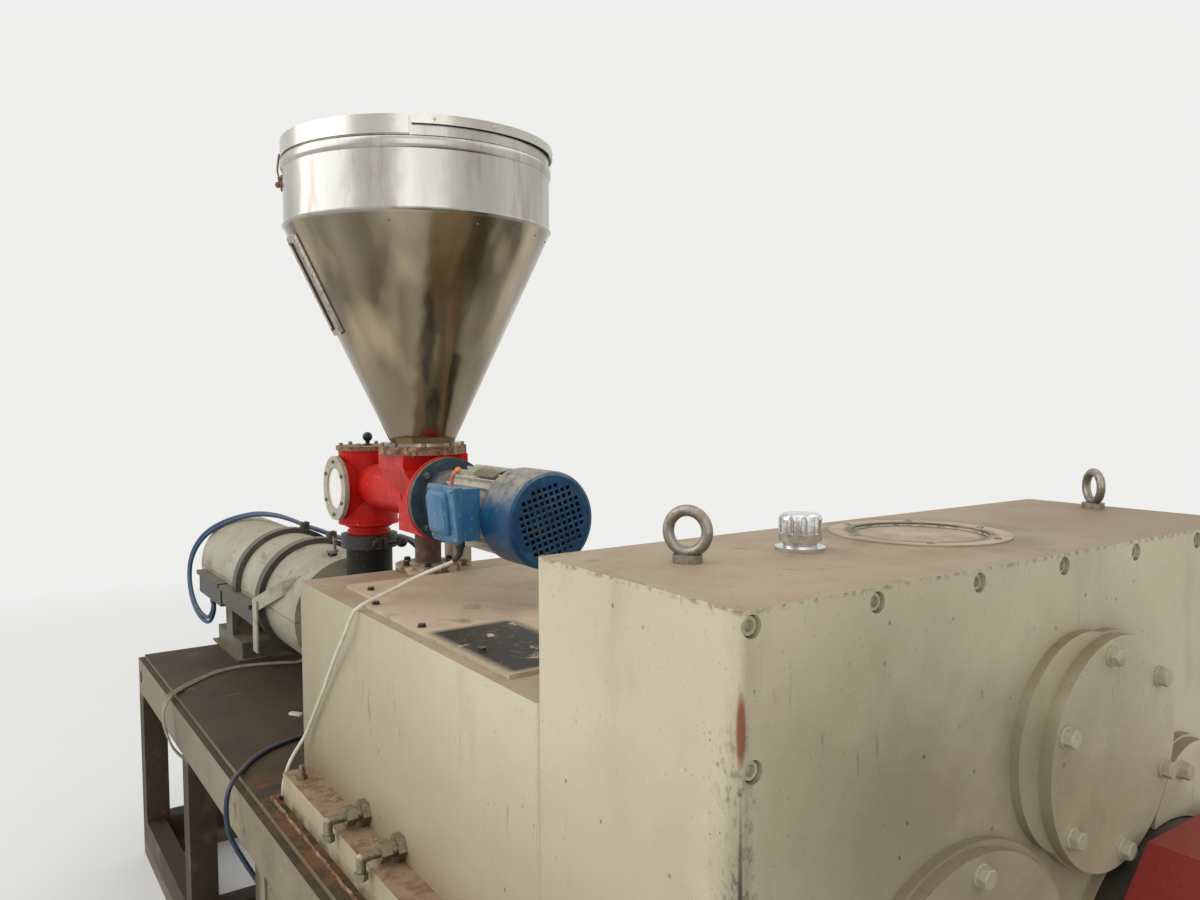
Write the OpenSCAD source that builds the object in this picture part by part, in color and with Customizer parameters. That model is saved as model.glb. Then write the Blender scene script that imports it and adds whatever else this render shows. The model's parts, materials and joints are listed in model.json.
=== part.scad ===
// Conical twin-screw plastic extruder on its stepped base.
// X runs along the machine from the die end to the main motor, Y across it and Z up.
// The origin lies on the floor, at the middle of the four foundation bolt holes.

/* [Base frame] */
// Width of the base across the machine
base_width = 1440; // [1300:10:1700]
// Length of the low bed behind the table
bed_length = 1470; // [1300:10:1800]
// Length of barrel cover that reaches past the table's die end
die_overhang = 188; // [100:1:260]
// Depth of the table's top below the screws' axis
table_drop = 273; // [240:1:330]
// Depth of the low bed's top below the screws' axis
bed_drop = 550; // [480:1:620]
// Height of the floor rails
rail_height = 140; // [100:5:180]
// Width of the channels' flanges
rail_flange = 60; // [45:1:74]
// Thickness of the channels' web and flanges
rail_wall = 8; // [5:0.5:12]
// Side of the square legs
leg_side = 75; // [60:1:100]
// Height of the channel beams under the table and the bed
fascia_height = 118; // [90:1:160]
// Thickness of the table's plate
table_plate_t = 12; // [8:1:25]
// Thickness of the bed's plate
bed_plate_t = 16; // [10:1:30]
// Distance of the table plate's edges from the beams' outer faces
plate_inset = 18; // [5:1:30]
// Distance from the table's die end to the middle of the second leg
second_leg = 775; // [500:5:1000]
// Distance from the distribution box's front to the third leg
panel_offset = 35; // [10:1:60]
// Thickness of the side panels' sheet
panel_sheet = 3; // [1.5:0.5:5]
// Radius of the foundation bolt holes
anchor_hole_r = 11; // [8:0.5:14]
// Distance of the foundation bolt holes from the rails' ends
anchor_margin = 120; // [80:5:200]
// Radius of the wiring hole in the near fascia
wiring_hole_r = 21; // [12:1:30]

/* [Gearboxes] */
// Height of the screws' axis above the floor
centre_height = 1000; // [900:10:1150]
// Distance of the screws' centreline from the base's near side
screw_offset = 432; // [380:1:520]
// Length of the distribution box
dist_length = 1075; // [900:5:1300]
// Width of the distribution box
dist_width = 614; // [540:2:700]
// Height of the distribution box above the screws' axis
dist_rise = 219; // [190:1:260]
// Length of the main gearbox along the machine
gearbox_depth = 410; // [360:5:460]
// Width of the main gearbox across the machine
gearbox_width = 1200; // [1150:5:1250]
// Height of the main gearbox above the screws' axis
gearbox_rise = 427; // [390:1:480]
// Rounding of the boxes' upright edges
edge_r = 8; // [4:1:20]
// Radius of the screw counterbores in the gearbox's rear face
counterbore_r = 13; // [9:0.5:16]
// Depth of the screw counterbores
counterbore_depth = 17; // [10:1:25]
// Distance between the counterbores along the top edge
counterbore_pitch = 198; // [150:1:220]
// Thickness of the pads under the bearing covers
pad_t = 14; // [8:1:25]
// Thickness of the bearing covers
cover_t = 18; // [10:1:30]
// Radius of the upper bearing cover
large_cover_r = 171; // [150:1:180]
// Radius of the low bearing cover
low_cover_r = 222; // [200:1:235]
// Radius of the small bearing cover
small_cover_r = 120; // [105:1:135]
// Radius of the input flange
input_flange_r = 248; // [220:1:265]
// Distance of the input shaft from the screws' centreline
input_shaft_y = 556; // [520:1:600]
// Depth of the input shaft below the screws' axis
input_shaft_drop = 260; // [230:1:280]
// Thickness of the access plates on the distribution box
access_plate_t = 7; // [4:0.5:12]
// Width of the front access plate
front_plate_width = 494; // [400:2:520]
// Width of the rear access plate
rear_plate_width = 566; // [460:2:590]
// Radius of the round inspection port on the gearbox
port_r = 139; // [110:1:160]

/* [Barrel] */
// Radius of the barrel covers
covers_r = 172; // [160:1:185]
// Thickness of the covers' sheet
covers_sheet = 3; // [1.5:0.5:6]
// Length of the cover on the die end's heating zone
front_zone = 570; // [500:5:700]
// Length of the cover on the middle heating zone
middle_zone = 280; // [220:5:340]
// Length of the cover on the rear heating zone
rear_zone = 336; // [250:2:420]
// Distance from the rear cover's end to the feed tube's axis
feed_gap = 139; // [100:1:200]
// Radius of the barrel
barrel_r = 118; // [100:1:130]
// Radius of the barrel's head flange
head_flange_r = 135; // [128:1:150]
// Thickness of the barrel's head flange
head_flange_t = 42; // [30:1:60]
// Radius of the head bolts' circle
head_bolt_circle = 112; // [104:1:116]
// Radius of the head bolts' holes
head_bolt_r = 8.5; // [6:0.5:10]
// Radius of the dark bands round the covers
band_r = 190; // [180:1:205]
// Width of the dark bands
band_width = 42; // [25:1:60]

/* [Feeder] */
// Distance from the feed tube's axis to the hopper's axis
feed_reach = 372; // [340:1:420]
// Radius of the feed tube
feed_tube_r = 63; // [55:1:70]
// Radius of the clamp ring
clamp_ring_r = 77; // [72:1:90]
// Height of the clamp ring's lower face above the screws' axis
clamp_ring_low = 225; // [205:1:250]
// Height of the clamp ring
clamp_ring_h = 37; // [25:1:50]
// Height of the feeding screw's axis above the extruder's screws
feeder_axis_rise = 402; // [385:1:440]
// Radius of the discharge drum
drum_r = 80; // [72:1:88]
// Radius of the feeding screw's tube
screw_tube_r = 60; // [50:1:68]
// Radius of the sight ring
sight_ring_r = 88; // [82:1:95]
// Radius of the sight glass
sight_glass_r = 57; // [45:1:65]
// Radius of the throat's round flange
throat_flange_r = 107; // [100:1:120]
// Radius of the feeder motor's flange
motor_flange_r = 100; // [92:1:110]
// Radius of the fan cowl
cowl_r = 98; // [90:1:105]
// Length of the feeder motor behind its flange
feeder_motor_length = 453; // [400:1:500]
// Side of the square holes in the fan cowl
grille_hole = 8.5; // [5:0.5:10]
// Distance between the square holes
grille_pitch = 13; // [11:0.5:18]

/* [Hopper] */
// Distance from the distribution box's front to the hopper's axis
hopper_offset = 14; // [0:1:40]
// Radius of the hopper's drum
hopper_r = 316; // [280:1:350]
// Radius of the hopper's outlet
outlet_r = 77; // [65:1:84]
// Height of the cone
cone_height = 507; // [420:1:600]
// Height of the drum
wall_height = 196; // [150:1:260]
// Thickness of the hopper's sheet
hopper_sheet = 3; // [2:0.5:5]
// Turn of the lid's split line about the hopper's axis
split_angle = -27; // [-60:1:0]
// Height of the fixed half lid's skirt
fixed_skirt = 40; // [25:1:60]
// Height of the hinged half lid's skirt
hinged_skirt = 20; // [15:1:30]

/* [Main drive] */
// Length of the main motor
main_motor_length = 640; // [560:5:700]
// Radius of the main motor
main_motor_r = 200; // [170:1:210]
// Distance from the gearbox's rear face to the main motor
drive_gap = 370; // [340:5:420]
// Height of the coupling guard above the input shaft
guard_rise = 262; // [255:1:300]

/* [Hidden] */
$fn = 96;

// Overlap that joins two forms of one solid
eps = 0.01;
// Clearance between curved faces that seat in each other
seat = 0.2;
// Steps round a small rounded corner
corner_fn = 32;

// Heights of the base
table_height = centre_height - table_drop;
bed_height = centre_height - bed_drop;
bed_beam_top = bed_height - bed_plate_t;
table_beam_top = table_height - table_plate_t;
table_leg_top = table_beam_top - fascia_height;
bed_leg_top = bed_beam_top - fascia_height;

// Lengths from the bed's rear end forward to the die end
barrel_zones = front_zone + middle_zone + rear_zone;
base_length = bed_length + dist_length - hopper_offset + feed_reach + feed_gap + barrel_zones - die_overhang;
base_x0 = -base_length / 2;
base_x1 = base_length / 2;
gearbox_x0 = base_x1 - bed_length;
gearbox_x1 = gearbox_x0 + gearbox_depth;
dist_x0 = gearbox_x0 - dist_length;
hopper_x = dist_x0 + hopper_offset;
feed_x = hopper_x - feed_reach;
covers_x1 = feed_x - feed_gap;
covers_x0 = covers_x1 - barrel_zones;
frame_gap = 4;
table_x1 = gearbox_x0 - frame_gap;
anchor_pitch_x = base_length - 2 * anchor_margin;
anchor_pitch_y = base_width - rail_wall - rail_flange;

// Places across the machine
base_y0 = -base_width / 2;
base_y1 = base_width / 2;
screw_y = base_y0 + screw_offset;
gear_y0 = screw_y - dist_width / 2;
input_y = screw_y + input_shaft_y;
input_z = centre_height - input_shaft_drop;

// Heights of the gearboxes
dist_top = centre_height + dist_rise;
gearbox_top = centre_height + gearbox_rise;

// Left edges of the legs under the table and under the low bed
table_leg_x = [
    base_x0,
    base_x0 + second_leg - leg_side / 2,
    dist_x0 + panel_offset,
    table_x1 - leg_side
];
bed_leg_x = [table_x1, (table_x1 + base_x1 - leg_side) / 2, base_x1 - leg_side];

// Paints and metals
cream = [0.72, 0.72, 0.62];
grey = [0.55, 0.57, 0.53];
dark = [0.16, 0.16, 0.15];
red = [0.75, 0.10, 0.08];
blue = [0.10, 0.25, 0.45];
steel = [0.72, 0.72, 0.72];
rusty = [0.45, 0.30, 0.20];
white = [0.90, 0.89, 0.84];

// A block between two corners
module block(low, high) {
    translate(low)
        cube(high - low);
}

// A cylinder along X from x0 to x1
module rod_x(x0, x1, r) {
    translate([x0, 0, 0])
        rotate([0, 90, 0])
            cylinder(r = r, h = x1 - x0);
}

// An upright ring from z0 to z1
module ring_z(z0, z1, r, bore) {
    translate([0, 0, z0])
        difference() {
            cylinder(r = r, h = z1 - z0);
            translate([0, 0, -1])
                cylinder(r = bore, h = z1 - z0 + 2);
        }
}

// A plan outline with rounded corners
module round_plan(x0, x1, y0, y1, r) {
    translate([x0 + r, y0])
        square([x1 - x0 - 2 * r, y1 - y0]);
    translate([x0, y0 + r])
        square([x1 - x0, y1 - y0 - 2 * r]);
    for (x = [x0 + r, x1 - r], y = [y0 + r, y1 - r])
        translate([x, y])
            circle(r = r, $fn = corner_fn);
}

// A channel along X: its web is the outer face at y0 and its flanges point along side
module channel_x(x0, x1, y0, z0, z1, side) {
    web = side * rail_wall;
    reach = side * rail_flange;
    difference() {
        block([x0, min(y0, y0 + reach), z0], [x1, max(y0, y0 + reach), z1]);
        block([x0 - 1, min(y0 + web, y0 + 2 * reach), z0 + rail_wall],
            [x1 + 1, max(y0 + web, y0 + 2 * reach), z1 - rail_wall]);
    }
}

// Floor rails with the foundation bolt holes in their lower flanges
module floor_rails() {
    color(cream)
        for (side = [1, -1])
            difference() {
                channel_x(base_x0, base_x1, -side * base_width / 2, 0, rail_height, side);
                for (x = [-anchor_pitch_x / 2, anchor_pitch_x / 2])
                    translate([x, -side * anchor_pitch_y / 2, -1])
                        cylinder(r = anchor_hole_r, h = rail_wall + 2);
            }
}

module cross_rails() {
    color(cream)
        for (x = concat(table_leg_x, [base_x1 - leg_side]))
            block([x, base_y0 + rail_flange, 0], [x + leg_side, base_y1 - rail_flange, rail_height]);
}

module legs() {
    color(cream)
        for (y = [base_y0, base_y1 - leg_side]) {
            for (x = table_leg_x)
                block([x, y, rail_height], [x + leg_side, y + leg_side, table_leg_top]);
            for (x = bed_leg_x)
                block([x + frame_gap, y, rail_height], [x + leg_side, y + leg_side, bed_leg_top]);
        }
}

// Channel beams under the table, the near one with its wiring hole
module table_beams() {
    hole_margin = 23;
    color(cream)
        difference() {
            for (side = [1, -1])
                channel_x(base_x0, table_x1, -side * base_width / 2, table_leg_top, table_beam_top, side);
            translate([base_x0 + hole_margin + wiring_hole_r, base_y0 - 1,
                table_beam_top - fascia_height / 2])
                rotate([-90, 0, 0])
                    cylinder(r = wiring_hole_r, h = rail_wall + 2);
        }
}

module table_cross_beams() {
    color(cream)
        for (x = table_leg_x)
            block([x, base_y0 + rail_flange, table_leg_top],
                [x + leg_side, base_y1 - rail_flange, table_beam_top]);
}

module table_plate() {
    color(cream)
        block([base_x0 + plate_inset, base_y0 + plate_inset, table_beam_top],
            [table_x1, base_y1 - plate_inset, table_height]);
}

module bed_beams() {
    color(cream)
        for (side = [1, -1])
            channel_x(gearbox_x0, base_x1, -side * base_width / 2, bed_leg_top, bed_beam_top, side);
}

module bed_plate() {
    color(cream)
        block([gearbox_x0, base_y0, bed_beam_top], [base_x1, base_y1, bed_height]);
}

// Closed panels between the legs, set back from their faces
module side_panels() {
    set_back = 6;
    color(cream)
        for (y = [base_y0 + set_back, base_y1 - set_back - panel_sheet]) {
            block([table_leg_x[2] + leg_side, y, rail_height],
                [table_leg_x[3], y + panel_sheet, table_leg_top]);
            for (i = [0, 1])
                block([bed_leg_x[i] + leg_side, y, rail_height],
                    [bed_leg_x[i + 1] + frame_gap, y + panel_sheet, bed_leg_top]);
        }
}

module distribution_box() {
    color(cream)
        translate([0, 0, table_height])
            linear_extrude(dist_top - table_height)
                round_plan(dist_x0, gearbox_x0, gear_y0, gear_y0 + dist_width, edge_r);
}

// Two access plates side by side on the distribution box
module access_plates() {
    front_margin = 145;
    front_length = 215;
    joint_gap = 1.5;
    rear_length = 590;
    x0 = dist_x0 + front_margin;
    x1 = x0 + front_length;
    color(cream) {
        block([x0, screw_y - front_plate_width / 2, dist_top],
            [x1, screw_y + front_plate_width / 2, dist_top + access_plate_t]);
        block([x1 + joint_gap, screw_y - rear_plate_width / 2, dist_top],
            [x1 + joint_gap + rear_length, screw_y + rear_plate_width / 2, dist_top + access_plate_t]);
    }
}

// Centres of the rear face's covers, across from the screws' centreline and above their axis
large_cover_at = [396, 132];
large_pad_at = [336, 155];
large_pad_r = 158;
low_cover_at = [59, -147];
low_pad_at = [66, -170];
low_pad_margin = 28;
small_cover_at = [636, -22];
input_at = [input_shaft_y, -input_shaft_drop];
pad_edge = 4;

// A disc on the gearbox's rear face
module rear_disc(at, r, x0, x1) {
    translate([0, screw_y + at[0], centre_height + at[1]])
        rod_x(x0, x1, r);
}

// Housing with the pads of its bearing covers and the counterbores along two edges
module gearbox_housing() {
    side_margin = 15;
    edge_drop = 18;
    down_margin = 18;
    down_pitch = 155;
    color(cream)
        difference() {
            union() {
                translate([0, 0, bed_height])
                    linear_extrude(gearbox_top - bed_height)
                        round_plan(gearbox_x0, gearbox_x1, gear_y0, gear_y0 + gearbox_width, edge_r);
                rear_disc(large_cover_at, large_cover_r + pad_edge, gearbox_x1 - eps, gearbox_x1 + pad_t);
                rear_disc(large_pad_at, large_pad_r, gearbox_x1 - eps, gearbox_x1 + pad_t);
                rear_disc(low_pad_at, low_cover_r + low_pad_margin, gearbox_x1 - eps, gearbox_x1 + pad_t);
                rear_disc(small_cover_at, small_cover_r + pad_edge, gearbox_x1 - eps, gearbox_x1 + pad_t);
                rear_disc(input_at, input_flange_r + pad_edge, gearbox_x1 - eps, gearbox_x1 + pad_t);
            }
            for (y = [gear_y0 + side_margin : counterbore_pitch : gear_y0 + gearbox_width - side_margin])
                translate([0, y, gearbox_top - edge_drop])
                    rod_x(gearbox_x1 - counterbore_depth, gearbox_x1 + 1, counterbore_r);
            for (z = [gearbox_top - edge_drop - down_pitch : -down_pitch : bed_height + 2 * edge_drop])
                translate([0, gear_y0 + down_margin, z])
                    rod_x(gearbox_x1 - counterbore_depth, gearbox_x1 + 1, counterbore_r);
            at_port()
                translate([0, 0, -port_recess])
                    cylinder(r = port_r - port_rim, h = port_recess + 1);
        }
}

port_at = [172, 298];
port_recess = 7;
port_rim = 34;

// Middle of the inspection port on the gearbox's top
module at_port() {
    translate([gearbox_x0 + port_at[0], screw_y + port_at[1], gearbox_top])
        children();
}

// Flat ring round the port and the lid sunk in it
module inspection_port() {
    ring_t = 2.5;
    lid_t = 4;
    color(cream)
        at_port() {
            ring_z(0, ring_t, port_r, port_r - port_rim);
            translate([0, 0, -port_recess])
                cylinder(r = port_r - port_rim - seat, h = lid_t);
        }
}

// Chromed breather cap with thumb grooves, on its painted ring
module breather_cap() {
    ring_r = 35.5;
    ring_t = 6;
    neck_r = 24;
    neck_top = 15;
    cap_r = 30.6;
    cap_top = 53;
    grooves = 10;
    groove_r = 5;
    groove_low = 26;
    color(steel)
        translate([gearbox_x0 + 177, screw_y + 24, gearbox_top]) {
            cylinder(r = ring_r, h = ring_t);
            cylinder(r = neck_r, h = neck_top + eps);
            difference() {
                rotate_extrude()
                    polygon([
                        [0, neck_top], [cap_r, neck_top], [cap_r, cap_top - 7], [cap_r - 2, cap_top - 2.5],
                        [cap_r - 6, cap_top], [0, cap_top]
                    ]);
                for (i = [0 : grooves - 1])
                    rotate(i * 360 / grooves)
                        translate([cap_r + 2, 0, groove_low])
                            cylinder(r = groove_r, h = cap_top, $fn = 24);
            }
        }
}

// Two lifting eye bolts, each a ring on a collar
module eye_bolts() {
    ring_r = 27.75;
    rod_r = 7.75;
    collar_r = 20;
    collar_h = 11;
    sink = 5;
    color(grey)
        for (at = [[158, -168, 28], [163, 841, -35]])
            translate([gearbox_x0 + at[0], screw_y + at[1], gearbox_top]) {
                cylinder(r = collar_r, h = collar_h);
                translate([0, 0, collar_h + ring_r + rod_r - sink])
                    rotate([0, 0, at[2]])
                        rotate([90, 0, 0])
                            rotate_extrude()
                                translate([ring_r, 0])
                                    circle(r = rod_r, $fn = corner_fn);
            }
}

module bearing_covers() {
    face = gearbox_x1 + pad_t;
    gap = 2;
    color(cream) {
        rear_disc(large_cover_at, large_cover_r, face, face + cover_t);
        rear_disc(low_cover_at, low_cover_r, face, face + cover_t);
        difference() {
            rear_disc(small_cover_at, small_cover_r, face, face + cover_t);
            rear_disc(large_cover_at, large_cover_r + gap, face - 1, face + cover_t + 1);
            rear_disc(input_at, input_flange_r + gap, face - 1, face + cover_t + 1);
        }
    }
}

input_flange_t = 40;
input_hub_t = 30;
input_hub_r = 110;

module input_flange() {
    face = gearbox_x1 + pad_t;
    color(dark) {
        rear_disc(input_at, input_flange_r, face, face + input_flange_t);
        rear_disc(input_at, input_hub_r, face + input_flange_t - eps, face + input_flange_t + input_hub_t);
    }
}

main_motor_x0 = gearbox_x1 + drive_gap;

// Shaft and the two coupling halves inside the guard
module coupling() {
    hub_end = gearbox_x1 + pad_t + input_flange_t + input_hub_t;
    shaft_r = 32;
    half_r = 95;
    half_t = 90;
    half_gap = 3;
    middle = (hub_end + main_motor_x0) / 2;
    color(dark) {
        rear_disc(input_at, shaft_r, hub_end, main_motor_x0);
        rear_disc(input_at, half_r, middle - half_t, middle - half_gap);
        rear_disc(input_at, half_r, middle + half_gap, middle + half_t);
    }
}

// Outline of the folded guard, seen along the shaft
module guard_outline(inset) {
    top_half = 120 - inset / 2;
    side_half = 250 - inset;
    fold = 130;
    top = input_z + guard_rise - inset;
    polygon([
        [-side_half, bed_height], [-side_half, top - fold], [-top_half, top],
        [top_half, top], [side_half, top - fold], [side_half, bed_height]
    ]);
}

module coupling_guard() {
    sheet = 4;
    front_gap = 60;
    rear_gap = 15;
    x0 = gearbox_x1 + front_gap;
    color(red)
        translate([x0, input_y, 0])
            rotate([90, 0, 90])
                linear_extrude(drive_gap - front_gap - rear_gap)
                    difference() {
                        guard_outline(0);
                        guard_outline(sheet);
                    }
}

motor_foot_rise = 225;
motor_foot_y = 178;
motor_foot_x = 90;
motor_foot_length = 360;
motor_rail_over = 25;

module motor_rails() {
    rail_w = 100;
    x0 = main_motor_x0 + motor_foot_x - motor_rail_over;
    color(dark)
        for (side = [-1, 1])
            block([x0, input_y + side * motor_foot_y - rail_w / 2, bed_height],
                [x0 + motor_foot_length + 2 * motor_rail_over,
                    input_y + side * motor_foot_y + rail_w / 2, input_z - motor_foot_rise]);
}

// Main motor with cooling fins, feet and a terminal box on its far side
module main_motor() {
    foot_w = 80;
    foot_h = 130;
    fins = 36;
    fin_h = 16;
    fin_t = 4;
    shield = 60;
    cowl = 130;
    shell_r = main_motor_r - fin_h;
    box_low = [120, shell_r - 40, -60];
    box_high = [310, 265, 90];
    color(blue)
        translate([main_motor_x0, input_y, input_z]) {
            rod_x(0, shield, main_motor_r - 4);
            rod_x(0, main_motor_length - cowl + eps, shell_r);
            rod_x(main_motor_length - cowl, main_motor_length, main_motor_r);
            for (i = [0 : fins - 1])
                rotate([i * 360 / fins, 0, 0])
                    translate([shield - eps, -fin_t / 2, shell_r - 2])
                        cube([main_motor_length - cowl - shield - 12, fin_t, fin_h + 2]);
            for (side = [-1, 1])
                block([motor_foot_x, side * motor_foot_y - foot_w / 2, -motor_foot_rise],
                    [motor_foot_x + motor_foot_length, side * motor_foot_y + foot_w / 2,
                        foot_h - motor_foot_rise]);
            block(box_low, box_high);
        }
}

head_gap = 8;
bore_depth = 150;

// Barrel with its rear flange, twin bore and head flange
module barrel() {
    rear_flange_r = 165;
    rear_flange_t = 36;
    head_x0 = covers_x0 - head_gap - head_flange_t;
    screw_r = 34;
    screw_half_gap = 29;
    head_bolts = 8;
    color(dark)
        translate([0, screw_y, centre_height])
            difference() {
                union() {
                    rod_x(head_x0, dist_x0, barrel_r);
                    rod_x(dist_x0 - rear_flange_t, dist_x0, rear_flange_r);
                    rod_x(head_x0, head_x0 + head_flange_t, head_flange_r);
                }
                for (side = [-1, 1])
                    translate([0, side * screw_half_gap, 0])
                        rod_x(head_x0 - 1, head_x0 + bore_depth, screw_r);
                for (i = [0 : head_bolts - 1])
                    rotate([(i + 0.5) * 360 / head_bolts, 0, 0])
                        translate([0, head_bolt_circle, 0])
                            rod_x(head_x0 - 1, head_x0 + head_flange_t, head_bolt_r);
            }
}

// One half of a cover: a half shell with end walls that reach the barrel
module half_cover(x0, x1) {
    translate([x0, 0, 0])
        rotate([0, 90, 0])
            rotate([0, 0, 90])
                rotate_extrude(angle = 180)
                    difference() {
                        translate([barrel_r + seat, 0])
                            square([covers_r - barrel_r - seat, x1 - x0]);
                        translate([barrel_r, covers_sheet])
                            square([covers_r - barrel_r - covers_sheet, x1 - x0 - 2 * covers_sheet]);
                    }
}

zone_gap = 2;
seam_gap = 1;
zone_ends = [covers_x0, covers_x0 + front_zone, covers_x0 + front_zone + middle_zone, covers_x1];

module upper_covers() {
    color(cream)
        translate([0, screw_y, centre_height + seam_gap])
            for (i = [0 : 2])
                half_cover(zone_ends[i], zone_ends[i + 1] - zone_gap);
}

module lower_covers() {
    color(cream)
        translate([0, screw_y, centre_height - seam_gap])
            for (i = [0 : 2])
                mirror([0, 0, 1])
                    half_cover(zone_ends[i], zone_ends[i + 1] - zone_gap);
}

// Bands over the joints between the covers, each with its clamping lugs on top
module cover_bands() {
    lug_y = 40;
    lug_t = 10;
    lug_gap = 6;
    lug_rise = 16;
    color(dark)
        translate([0, screw_y, centre_height])
            for (i = [1, 2])
                difference() {
                    union() {
                        rod_x(zone_ends[i] - band_width / 2, zone_ends[i] + band_width / 2, band_r);
                        for (y = [lug_y, lug_y + lug_t + lug_gap])
                            block([zone_ends[i] - band_width / 3, y, covers_r],
                                [zone_ends[i] + band_width / 3, y + lug_t, band_r + lug_rise]);
                    }
                    rod_x(zone_ends[i] - band_width, zone_ends[i] + band_width, covers_r + seam_gap + seat);
                }
}

// Junction boxes under the near seam, by their distances from the covers' die end
box_a = [77, 408];
box_b = [433, 823];
box_face_y = -197;
box_a_low = -92;
box_b_low = -74;
ledge_z = -10;

// Dark ledge along the near seam and the two heater junction boxes under it
module heater_boxes() {
    inner_y = -140;
    ledge_t = 14;
    ledge_reach = 10;
    color(dark)
        translate([0, screw_y, centre_height])
            difference() {
                union() {
                    for (s = [[box_a, box_a_low], [box_b, box_b_low]]) {
                        block([covers_x0 + s[0][0], box_face_y, s[1]],
                            [covers_x0 + s[0][1], inner_y, ledge_z - ledge_t + eps]);
                        block([covers_x0 + s[0][0], box_face_y - ledge_reach, ledge_z - ledge_t],
                            [covers_x0 + s[0][1], inner_y, ledge_z]);
                    }
                }
                rod_x(covers_x0, covers_x1, covers_r + seam_gap + seat);
                rod_x(zone_ends[1] - band_width / 2 - seat, zone_ends[1] + band_width / 2 + seat,
                    band_r + seat);
            }
}

// Bent bar beside the rear cover: a foot on the cover, a slope out and down, and an upright end
module cover_bracket() {
    bar_w = 44;
    bar_t = 5;
    heel = [covers_x1 - 80, -118, 100];
    top = [covers_x1 - 130, -168, 78];
    knee = [covers_x1 - 335, -200, -8];
    drop = 140;
    color(cream)
        translate([0, screw_y, centre_height])
            difference() {
                union() {
                    hull() {
                        translate(heel)
                            cube([bar_t, bar_t, bar_w], center = true);
                        translate(top)
                            cube([bar_t, bar_t, bar_w], center = true);
                    }
                    hull() {
                        translate(top)
                            cube([bar_t, bar_t, bar_w], center = true);
                        translate(knee)
                            cube([bar_t, bar_t, bar_w], center = true);
                    }
                    block([knee[0] - bar_t / 2, knee[1] - bar_t / 2, knee[2] - drop],
                        [knee[0] + bar_w, knee[1] + bar_t / 2, knee[2] + bar_w / 2]);
                }
                rod_x(covers_x0, covers_x1 + 1, covers_r + seam_gap + seat);
                rod_x(zone_ends[2] - band_width / 2 - 1, zone_ends[2] + band_width / 2 + 1, band_r + seat);
            }
}

// Foot on the table that carries the die end of the barrel
module barrel_foot() {
    x0 = covers_x0 + 153;
    foot_length = 342;
    foot_h = 62;
    foot_half = 149;
    plate_over = 18;
    plate_t = 7;
    saddle_x = x0 + 120;
    saddle_t = 90;
    color(cream)
        difference() {
            union() {
                block([x0 - plate_over, screw_y - foot_half - plate_over, table_height],
                    [x0 + foot_length + plate_over, screw_y + foot_half + plate_over,
                        table_height + plate_t]);
                block([x0, screw_y - foot_half, table_height],
                    [x0 + foot_length, screw_y + foot_half, table_height + foot_h]);
                block([saddle_x, screw_y - foot_half, table_height],
                    [saddle_x + saddle_t, screw_y + foot_half, centre_height - covers_r + 60]);
            }
            translate([0, screw_y, centre_height - seam_gap])
                rod_x(x0 - 1, x0 + foot_length + 1, covers_r + seat);
        }
}

// Heights of the feeder
clamp_z0 = centre_height + clamp_ring_low;
clamp_z1 = clamp_z0 + clamp_ring_h;
feeder_z = centre_height + feeder_axis_rise;
spigot_r = 55;
spigot_h = 22;
drum_z0 = clamp_z1 + spigot_h;
drum_top = feeder_z + 95;
drum_lid_t = 12;
throat_top = feeder_z + 103;
throat_flange_t = 20;
hopper_z0 = throat_top + throat_flange_t;

module at_feed_tube() {
    translate([feed_x, screw_y, 0])
        children();
}

module at_hopper() {
    translate([hopper_x, screw_y, 0])
        children();
}

module feed_tube() {
    wall = 8;
    foot = centre_height + sqrt(barrel_r * barrel_r - feed_tube_r * feed_tube_r);
    color(dark)
        difference() {
            at_feed_tube()
                ring_z(foot - 30, clamp_z0, feed_tube_r, feed_tube_r - wall);
            translate([0, screw_y, centre_height])
                rod_x(feed_x - 2 * feed_tube_r, feed_x + 2 * feed_tube_r, barrel_r + seat);
        }
}

// Split clamp ring with its two ears
module clamp_ring() {
    ear_y = 14;
    ear_reach = 26;
    split = 4;
    color(dark)
        at_feed_tube()
            difference() {
                union() {
                    ring_z(clamp_z0, clamp_z1, clamp_ring_r, spigot_r - 6);
                    block([clamp_ring_r - 8, -ear_y, clamp_z0 + 4],
                        [clamp_ring_r + ear_reach, ear_y, clamp_z1 - 4]);
                }
                block([spigot_r, -split / 2, clamp_z0 - 1],
                    [clamp_ring_r + ear_reach + 1, split / 2, clamp_z1 + 1]);
            }
}

// Discharge drum with its spigot, the sight glass branch and the screw's tube
module discharge_body() {
    sight_drop = 8;
    bead_r = drum_r + 3;
    color(red)
        difference() {
            at_feed_tube() {
                translate([0, 0, clamp_z1])
                    cylinder(r = spigot_r, h = spigot_h + eps);
                translate([0, 0, clamp_z1 + 2])
                    cylinder(r = spigot_r + 4, h = 9);
                rotate_extrude()
                    polygon([
                        [0, drum_z0], [spigot_r + 8, drum_z0], [drum_r, drum_z0 + 12], [drum_r, drum_top],
                        [0, drum_top]
                    ]);
                translate([0, 0, drum_z0 + 8])
                    cylinder(r = bead_r, h = 7);
                translate([0, 0, feeder_z - sight_drop])
                    rotate([90, 0, 0])
                        cylinder(r = drum_r - 2, h = sight_face);
                translate([0, 0, feeder_z])
                    rod_x(0, hopper_x - feed_x, screw_tube_r);
            }
            throat_form(0, 0, 1);
        }
}

// Distance from the feed tube's axis to the sight glass branch's face
sight_face = drum_r + 6;

module discharge_lid() {
    color(cream)
        at_feed_tube()
            translate([0, 0, drum_top])
                cylinder(r = drum_r + 6, h = drum_lid_t);
}

// Children on the sight glass branch's face, with Z pointing out of it
module at_sight() {
    at_feed_tube()
        translate([0, -sight_face, feeder_z - 8])
            rotate([90, 0, 0])
                children();
}

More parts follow.
